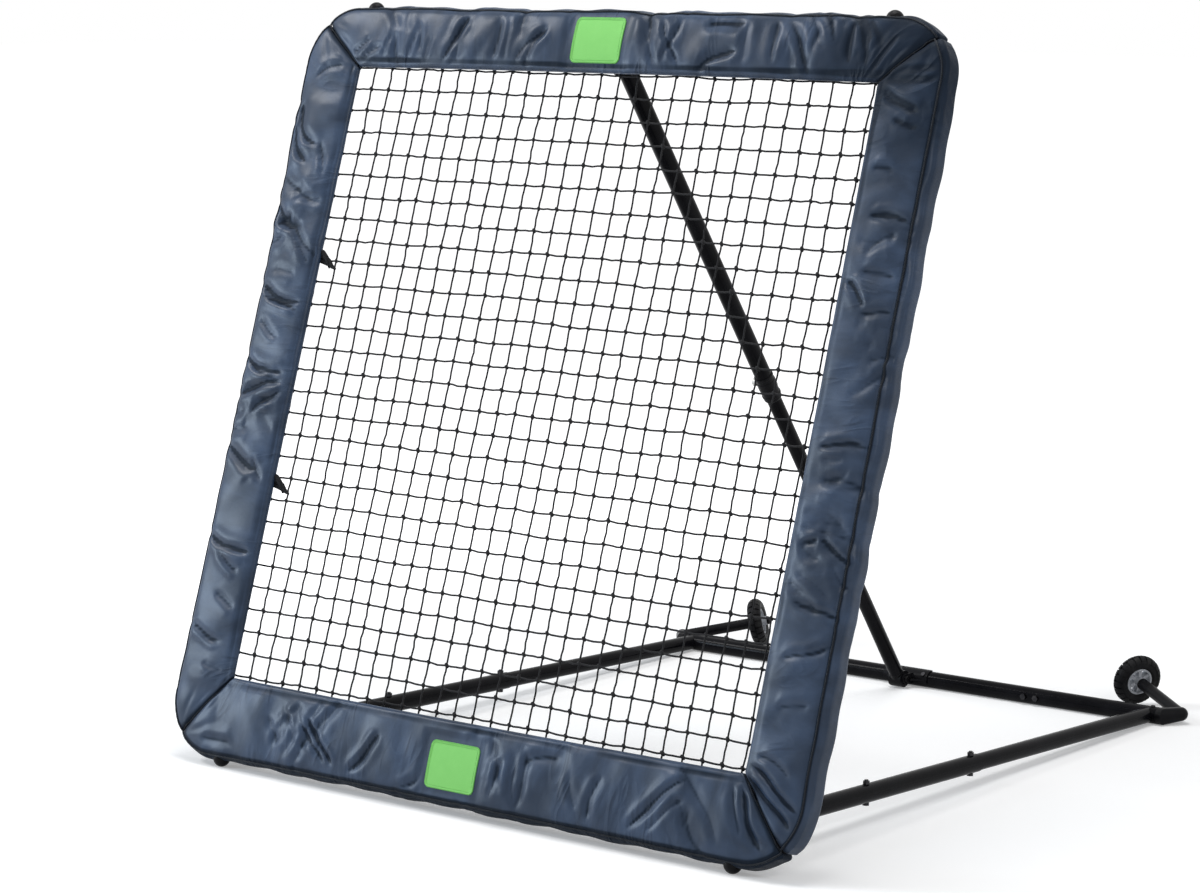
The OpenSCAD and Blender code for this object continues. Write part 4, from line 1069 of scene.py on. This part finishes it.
def make_patch(name, pad):
    """A blank cloth patch with a stitched edge, lying on its pad."""
    tree = BVHTree.FromObject(pad.piece, bpy.context.evaluated_depsgraph_get())
    cx, cy = PATCH_AT[pad.kind]

    def lay(x, y, lift):
        """A point over the pad's cloth."""
        v = FRAME_H + PAD_OVER - (cy - y) if pad.kind == TOP else y + cy - PAD_OVER
        hit = tree.ray_cast(Vector(on_panel(cx + x, v, 0.08)), -FRONT)[0]
        return (hit or Vector(on_panel(cx + x, v, PAD_FRONT))) + FRONT * lift

    # Each ring: how far inside the outline, how high on the cloth, and its size.
    rings = [(0.0, -0.0006, 1), (0.0, 0.0010, 1), (0.0006, 0.0018, 1), (0.0022, 0.0018, 1)]
    edging = len(rings) - 1
    rings += [(0.0030, 0.0012, 1 - k / 11) for k in range(11)]
    places = [[(x * size, y * size) for x, y in patch_outline(shrink)] for shrink, _, size in rings]
    verts = [lay(x, y, lift) for ring, (_, lift, _) in zip(places, rings) for x, y in ring]
    count = len(places[0])
    faces = []
    for r in range(len(rings) - 1):
        for k in range(count):
            m = (k + 1) % count
            faces.append((r * count + k, r * count + m, (r + 1) * count + m, (r + 1) * count + k))
    faces.append(tuple(range(len(verts) - count, len(verts))))
    faces.append(tuple(range(count - 1, -1, -1)))
    uvs = [place for ring in places for place in ring]
    mesh = mapped(name, verts, faces, [uvs[k] for face in faces for k in face], 50)
    mesh.materials.append(green)
    mesh.materials.append(green_edge)
    mesh.polygons.foreach_set("material_index", [int(k < edging * count) for k in range(len(faces))])
    dressed(mesh, None, "green_fabric", name)
    dressed(swept(name + "_stitches", stitch_row(lay, 0.0055), 0.00045, 5), green_edge, "green_fabric")


make_patch("patch_top", pad_top)
make_patch("patch_bottom", pad_bottom)


# ---------------------------------------------------------------- net

def net_tree(g, size):
    """Square netting: kinked strands between knots, the outer cells cut by the rope."""
    cols, rows = 31, 32
    grid = g.node("GeometryNodeMeshGrid", {}, {
        "Size X": (cols - 1) * size["Cell across"], "Size Y": (rows - 1) * size["Cell up"],
        "Vertices X": cols, "Vertices Y": rows})[0]
    grid = g.geo("Transform", Geometry=grid, Translation=(KNOT_X, KNOT_V - 0.5 * MESH_V, 0))
    # The knots drift a little, and none lies beyond the border rope.
    where = g.geo("InputPosition")
    drift = g.node("ShaderNodeTexNoise", {}, {"Vector": where, "Scale": 11.0, "Detail": 2.0})["Color"]
    drift = g.vector("MULTIPLY", g.vector("SUBTRACT", drift, (0.5, 0.5, 0.5)), (0.010, 0.010, 0.004))
    inside = g.vector("MINIMUM", g.vector("ADD", where, drift),
                      (NET_W / 2 - ROPE_R, FRAME_H - LACE_GAP_V - ROPE_R, 0.01))
    inside = g.vector("MAXIMUM", inside, (ROPE_R - NET_W / 2, LACE_GAP_V + ROPE_R, -0.01))
    grid = g.geo("SetPosition", Geometry=grid, Position=inside)
    # Each strand sags and kinks between its knots.
    strands = g.geo("SubdivideCurve", Curve=g.geo("MeshToCurve", Mesh=grid), Cuts=3)
    along = g.node("GeometryNodeSplineParameter")["Factor"]
    arch = along * (1.0 - along) * 4.0
    level = g.node("ShaderNodeSeparateXYZ", {}, {0: g.geo("InputTangent")})[0].abs()
    place = g.geo("InputPosition")
    kink = g.node("ShaderNodeTexNoise", {}, {"Vector": place, "Scale": 60.0})["Color"]
    kink = g.vector("SCALE", g.vector("SUBTRACT", kink, (0.5, 0.5, 0.5)), arch * 0.006)
    sag = g.node("ShaderNodeCombineXYZ", {}, {1: arch * level * -0.0013})[0]
    strands = g.geo("SetPosition", Geometry=strands, Offset=g.vector("ADD", kink, sag))
    ring = g.geo("CurvePrimitiveCircle", Resolution=6, Radius=size["Twine radius"])
    tubes = g.geo("CurveToMesh", Curve=strands, Profile_Curve=ring, Fill_Caps=True)
    ball = g.geo("MeshIcoSphere", Radius=size["Knot radius"], Subdivisions=2)
    ball = g.geo("Transform", Geometry=ball, Scale=(0.72, 1.15, 0.75))
    turn = g.node("FunctionNodeRandomValue", {"data_type": "FLOAT_VECTOR"},
                  {"Min": (-0.25, -0.25, 0.35), "Max": (0.25, 0.25, 0.95), "Seed": 4})[0]
    scale = g.node("FunctionNodeRandomValue", {"data_type": "FLOAT"},
                   {"Min": 0.88, "Max": 1.14, "Seed": 9})[0]
    knots = g.geo("InstanceOnPoints", Points=grid, Instance=ball, Rotation=turn, Scale=scale)
    knots = g.geo("RealizeInstances", Geometry=knots)
    joined = g.geo("RealizeInstances", Geometry=g.geo("JoinGeometry", Geometry=[tubes, knots]))
    joined = g.geo("SetShadeSmooth", Geometry=joined)
    return g.geo("SetMaterial", Geometry=joined, Material=size["Twine"])


net_mesh = grown("knotted_net", net_tree, **{
    "Cell across": MESH_X, "Cell up": MESH_V, "Twine radius": 0.0020, "Knot radius": 0.0052,
    "Twine": twine})
net_mesh.transform(PANEL)
dressed(net_mesh, None, "twine", "net")


# ---------------------------------------------------------------- rope and lacing

def rope_route():
    """The border rope's closed middle line, with rounded corners."""
    turn, points = 0.020, []
    w, low, high = NET_W / 2, LACE_GAP_V, FRAME_H - LACE_GAP_V
    for cx, cv, a0 in ((w - turn, high - turn, 90), (w - turn, low + turn, 0),
                       (turn - w, low + turn, -90), (turn - w, high - turn, -180)):
        points += [Vector((x, v, 0)) for x, v in bow(cx, cv, turn, turn, a0, a0 - 90, 6)]
    return points


def laid_rope(name, corners, radius, pitch, strands=3, steps=9):
    """A rope of twisted strands round a closed route in the net's plane."""
    ring = corners + corners[:1]
    lengths = walked(ring)
    turns = round(lengths[-1] / pitch)
    count = turns * steps
    core, routes = radius * 0.52, [[] for _ in range(strands)]
    i = 0
    for n in range(count):
        d = lengths[-1] * n / count
        while lengths[i + 1] < d:
            i += 1
        p = ring[i].lerp(ring[i + 1], (d - lengths[i]) / (lengths[i + 1] - lengths[i]))
        ahead = (ring[i + 1] - ring[i]).normalized()
        out = Vector((-ahead.y, ahead.x, 0))
        for s, route in enumerate(routes):
            a = 2 * math.pi * (turns * n / count + s / strands)
            route.append(p + out * (core * math.cos(a)) + Vector((0, 0, core * math.sin(a))))
    return swept(name, routes, radius * 0.50, 6, closed=True)


rope_mesh = laid_rope("border_rope", rope_route(), ROPE_R, 0.020)
rope_mesh.transform(PANEL)
dressed(rope_mesh, rope, "rope", "net_rope")


def lace_route(gap):
    """One elastic from a rope eye over its peg to the other rope eye, x along, z to the net."""
    r = 0.002
    eye_z = TUBE_R + 0.012 - 0.0025 - r - 0.0002
    eye_r = 0.003 + r + 0.0003
    hook = ROPE_R + r + 0.0003
    spread = 0.040
    winding = []
    for k in range(15):
        a = math.radians(90 - 400 * k / 14)
        winding.append(Vector((-spread + 0.0045 * (k / 14 - 0.5), hook * math.cos(a),
                               gap - hook * math.sin(a))))
    over = [Vector((x, y * 0.9, eye_z)) for x, y in bow(0, 0, eye_r, eye_r, 180, 0, 8)]
    back = [Vector((-p.x, p.y, p.z)) for p in winding]
    return winding + over + back[::-1]


def each_side(route, along, side):
    """A route set at a place along one of the four tubes, in panel space."""
    out = []
    for p in route:
        x, y, z = along + p.x, p.y, p.z
        out.append(((x, z, -y), (x, FRAME_H - z, -y), (FRAME_W / 2 - z, FRAME_H / 2 + x, -y),
                    (z - FRAME_W / 2, FRAME_H / 2 - x, -y))[side])
    return out


laces = []
for side in range(4):
    gap, long = (LACE_GAP_V, NET_W) if side < 2 else (LACE_GAP, NET_H)
    for i in range(LACES_A_SIDE):
        place = (i - (LACES_A_SIDE - 1) / 2) * long / LACES_A_SIDE
        laces.append(each_side(lace_route(gap), place, side))
lace_mesh = swept("elastic_lacing", laces, LACE_R, 7)
lace_mesh.transform(PANEL)
dressed(lace_mesh, elastic, "elastic", "net_lacing")


# ---------------------------------------------------------------- pad ties

def tie_route(x):
    """Tape from the back flap to the front board."""
    start = Vector((x, FLAP + 0.001, -TUBE_R - 0.004))
    end = Vector((x, FLAP + 0.042, BOARD - 0.0015))
    route = []
    for k in range(9):
        p = start.lerp(end, k / 8)
        p.z -= 0.003 * math.sin(math.pi * (k / 8))
        route.append(p)
    return np.array([tuple(p) for p in route + [end + Vector((0, 0.004 * k, 0)) for k in range(1, 4)]])


def tail_route(x, bow_x, bow_y, lift):
    """A knotted tail that hangs from a tie and shows through the net."""
    return np.array([(x + bow_x, 0.128, 0.006), (x + bow_x * 1.6, 0.148 + bow_y, 0.007 + lift),
                     (x - 0.003 + bow_x * 1.5, 0.160 + bow_y, 0.006 + lift),
                     (x - 0.010 + bow_x, 0.171 + bow_y, 0.004 + lift),
                     (x - 0.018 + bow_x * 0.6, 0.180 + bow_y, 0.003 + lift),
                     (x - 0.026, 0.188 + bow_y * 2, 0.002)])


TIES_LEVEL = (-0.245, 0.245)
TIES_UPRIGHT = (0.574 - FRAME_H / 2, 1.063 - FRAME_H / 2)
TAIL_ENDS = ((0.0, 0.0, 0.0), (0.006, -0.006, 0.003), (-0.007, 0.003, -0.003))
tape_routes = []
for pad, places in ((pad_bottom, TIES_LEVEL), (pad_top, TIES_LEVEL),
                    (pad_right, TIES_UPRIGHT), (pad_left, TIES_UPRIGHT)):
    tape_routes += [pad.in_world(tie_route(x)) for x in places]
tails = [pad_left.in_world(tail_route(x, *end)) for x in TIES_UPRIGHT for end in TAIL_ENDS]


def tapes(name, routes, wide, thick):
    """Flat woven tapes along routes, each closed all round."""
    outline = ((-1, -0.6), (-0.9, -1), (0.9, -1), (1, -0.6), (1, 0.6), (0.9, 1), (-0.9, 1), (-1, 0.6))
    strips = []
    for route in routes:
        points = [Vector(p) for p in route]
        lengths = walked(points)
        rings = []
        for i, p in enumerate(points):
            ahead = (points[min(i + 1, len(points) - 1)] - points[max(i - 1, 0)]).normalized()
            side = ahead.cross(FRONT).normalized() * wide / 2
            up = side.cross(ahead).normalized() * thick / 2
            rings.append(([p + side * a + up * b for a, b in outline], lengths[i]))
        strips.append((rings, lengths[-1]))
    across = [a * wide / 2 for a, _ in outline]
    return skin(name, strips, across + across[:1], 40)


dressed(tapes("pad_tapes", tape_routes, 0.016, 0.0014), tape, "rope", "pad_ties")
tail_mesh = swept("tie_tails", tails, 0.0060,
                  taper=lambda t: 0.75 + 0.5 * math.sin(2.6 * t) - 0.72 * t * t)
dressed(tail_mesh, tape, "rope")


# ---------------------------------------------------------------- floor, world and lamps

def cleared(owner):
    """The empty graph of a material or a world."""
    owner.use_nodes = True
    owner.node_tree.nodes.clear()
    return Graph(owner.node_tree)


def floor_finish():
    """White sweep that keeps shadows but shows as plain white elsewhere."""
    made = bpy.data.materials.new("studio_floor")
    g = cleared(made)
    matte = g.node("ShaderNodeBsdfDiffuse", {}, {"Color": rgb(0.84, 0.84, 0.84)})[0]
    rays = g.node("ShaderNodeLightPath")
    seen = rays["Is Camera Ray"].most(rays["Is Glossy Ray"])
    away = g.vector("LENGTH", g.node("ShaderNodeTexCoord")["Object"])
    glow = g.node("ShaderNodeEmission", {}, {
        "Color": rgb(1, 1, 1), "Strength": seen * (away.step(0.8, 2.8) * 0.70 + 0.24)})[0]
    both = g.node("ShaderNodeAddShader", {}, {0: matte, 1: glow})[0]
    g.node("ShaderNodeOutputMaterial", {}, {0: both})
    return made


def sky():
    """White to the eye and in reflections, and a soft light otherwise."""
    made = bpy.data.worlds.new("studio")
    g = cleared(made)
    rays = g.node("ShaderNodeLightPath")
    direct = rays["Is Camera Ray"].most(rays["Is Transmission Ray"]).most(rays["Is Glossy Ray"])
    soft = g.node("ShaderNodeBackground", {}, {"Color": rgb(0.95, 0.97, 1.0), "Strength": 0.26})[0]
    white = g.node("ShaderNodeBackground", {}, {"Color": rgb(1, 1, 1), "Strength": 1.0})[0]
    mixed = g.node("ShaderNodeMixShader", {}, {0: direct, 1: soft, 2: white})[0]
    g.node("ShaderNodeOutputWorld", {}, {0: mixed})
    return made


def softbox(name, place, aim, wide, high, power, colour=(1.0, 1.0, 1.0)):
    lamp = bpy.data.lights.new(name, "AREA")
    lamp.color = colour
    lamp.shape = "RECTANGLE"
    lamp.size, lamp.size_y, lamp.energy = wide, high, power
    made = add_object(name, lamp)
    made.location = place
    made.rotation_euler = (Vector(aim) - Vector(place)).to_track_quat("-Z", "Y").to_euler()


SWEEP = 40
floor_mesh = bpy.data.meshes.new("floor")
floor_mesh.from_pydata([(-SWEEP, -SWEEP, 0), (SWEEP, -SWEEP, 0), (SWEEP, SWEEP, 0), (-SWEEP, SWEEP, 0)],
                       [], [(0, 1, 2, 3)])
floor_mesh.materials.append(floor_finish())
add_object("floor", floor_mesh)
scene.world = sky()
softbox("key_box", (-3.9, -2.4, 4.2), (0, -0.2, 0.6), 1.8, 1.1, 100)
softbox("left_box", (-4.6, -3.6, 1.7), (0, -0.4, 0.7), 1.3, 1.9, 124, (0.74, 0.87, 1.0))
softbox("fill_box", (4.2, -2.2, 3.2), (0, -0.2, 0.6), 2.2, 1.4, 55)
softbox("top_box", (0.0, -0.2, 5.2), (0, -0.2, 0.0), 2.6, 2.6, 125)
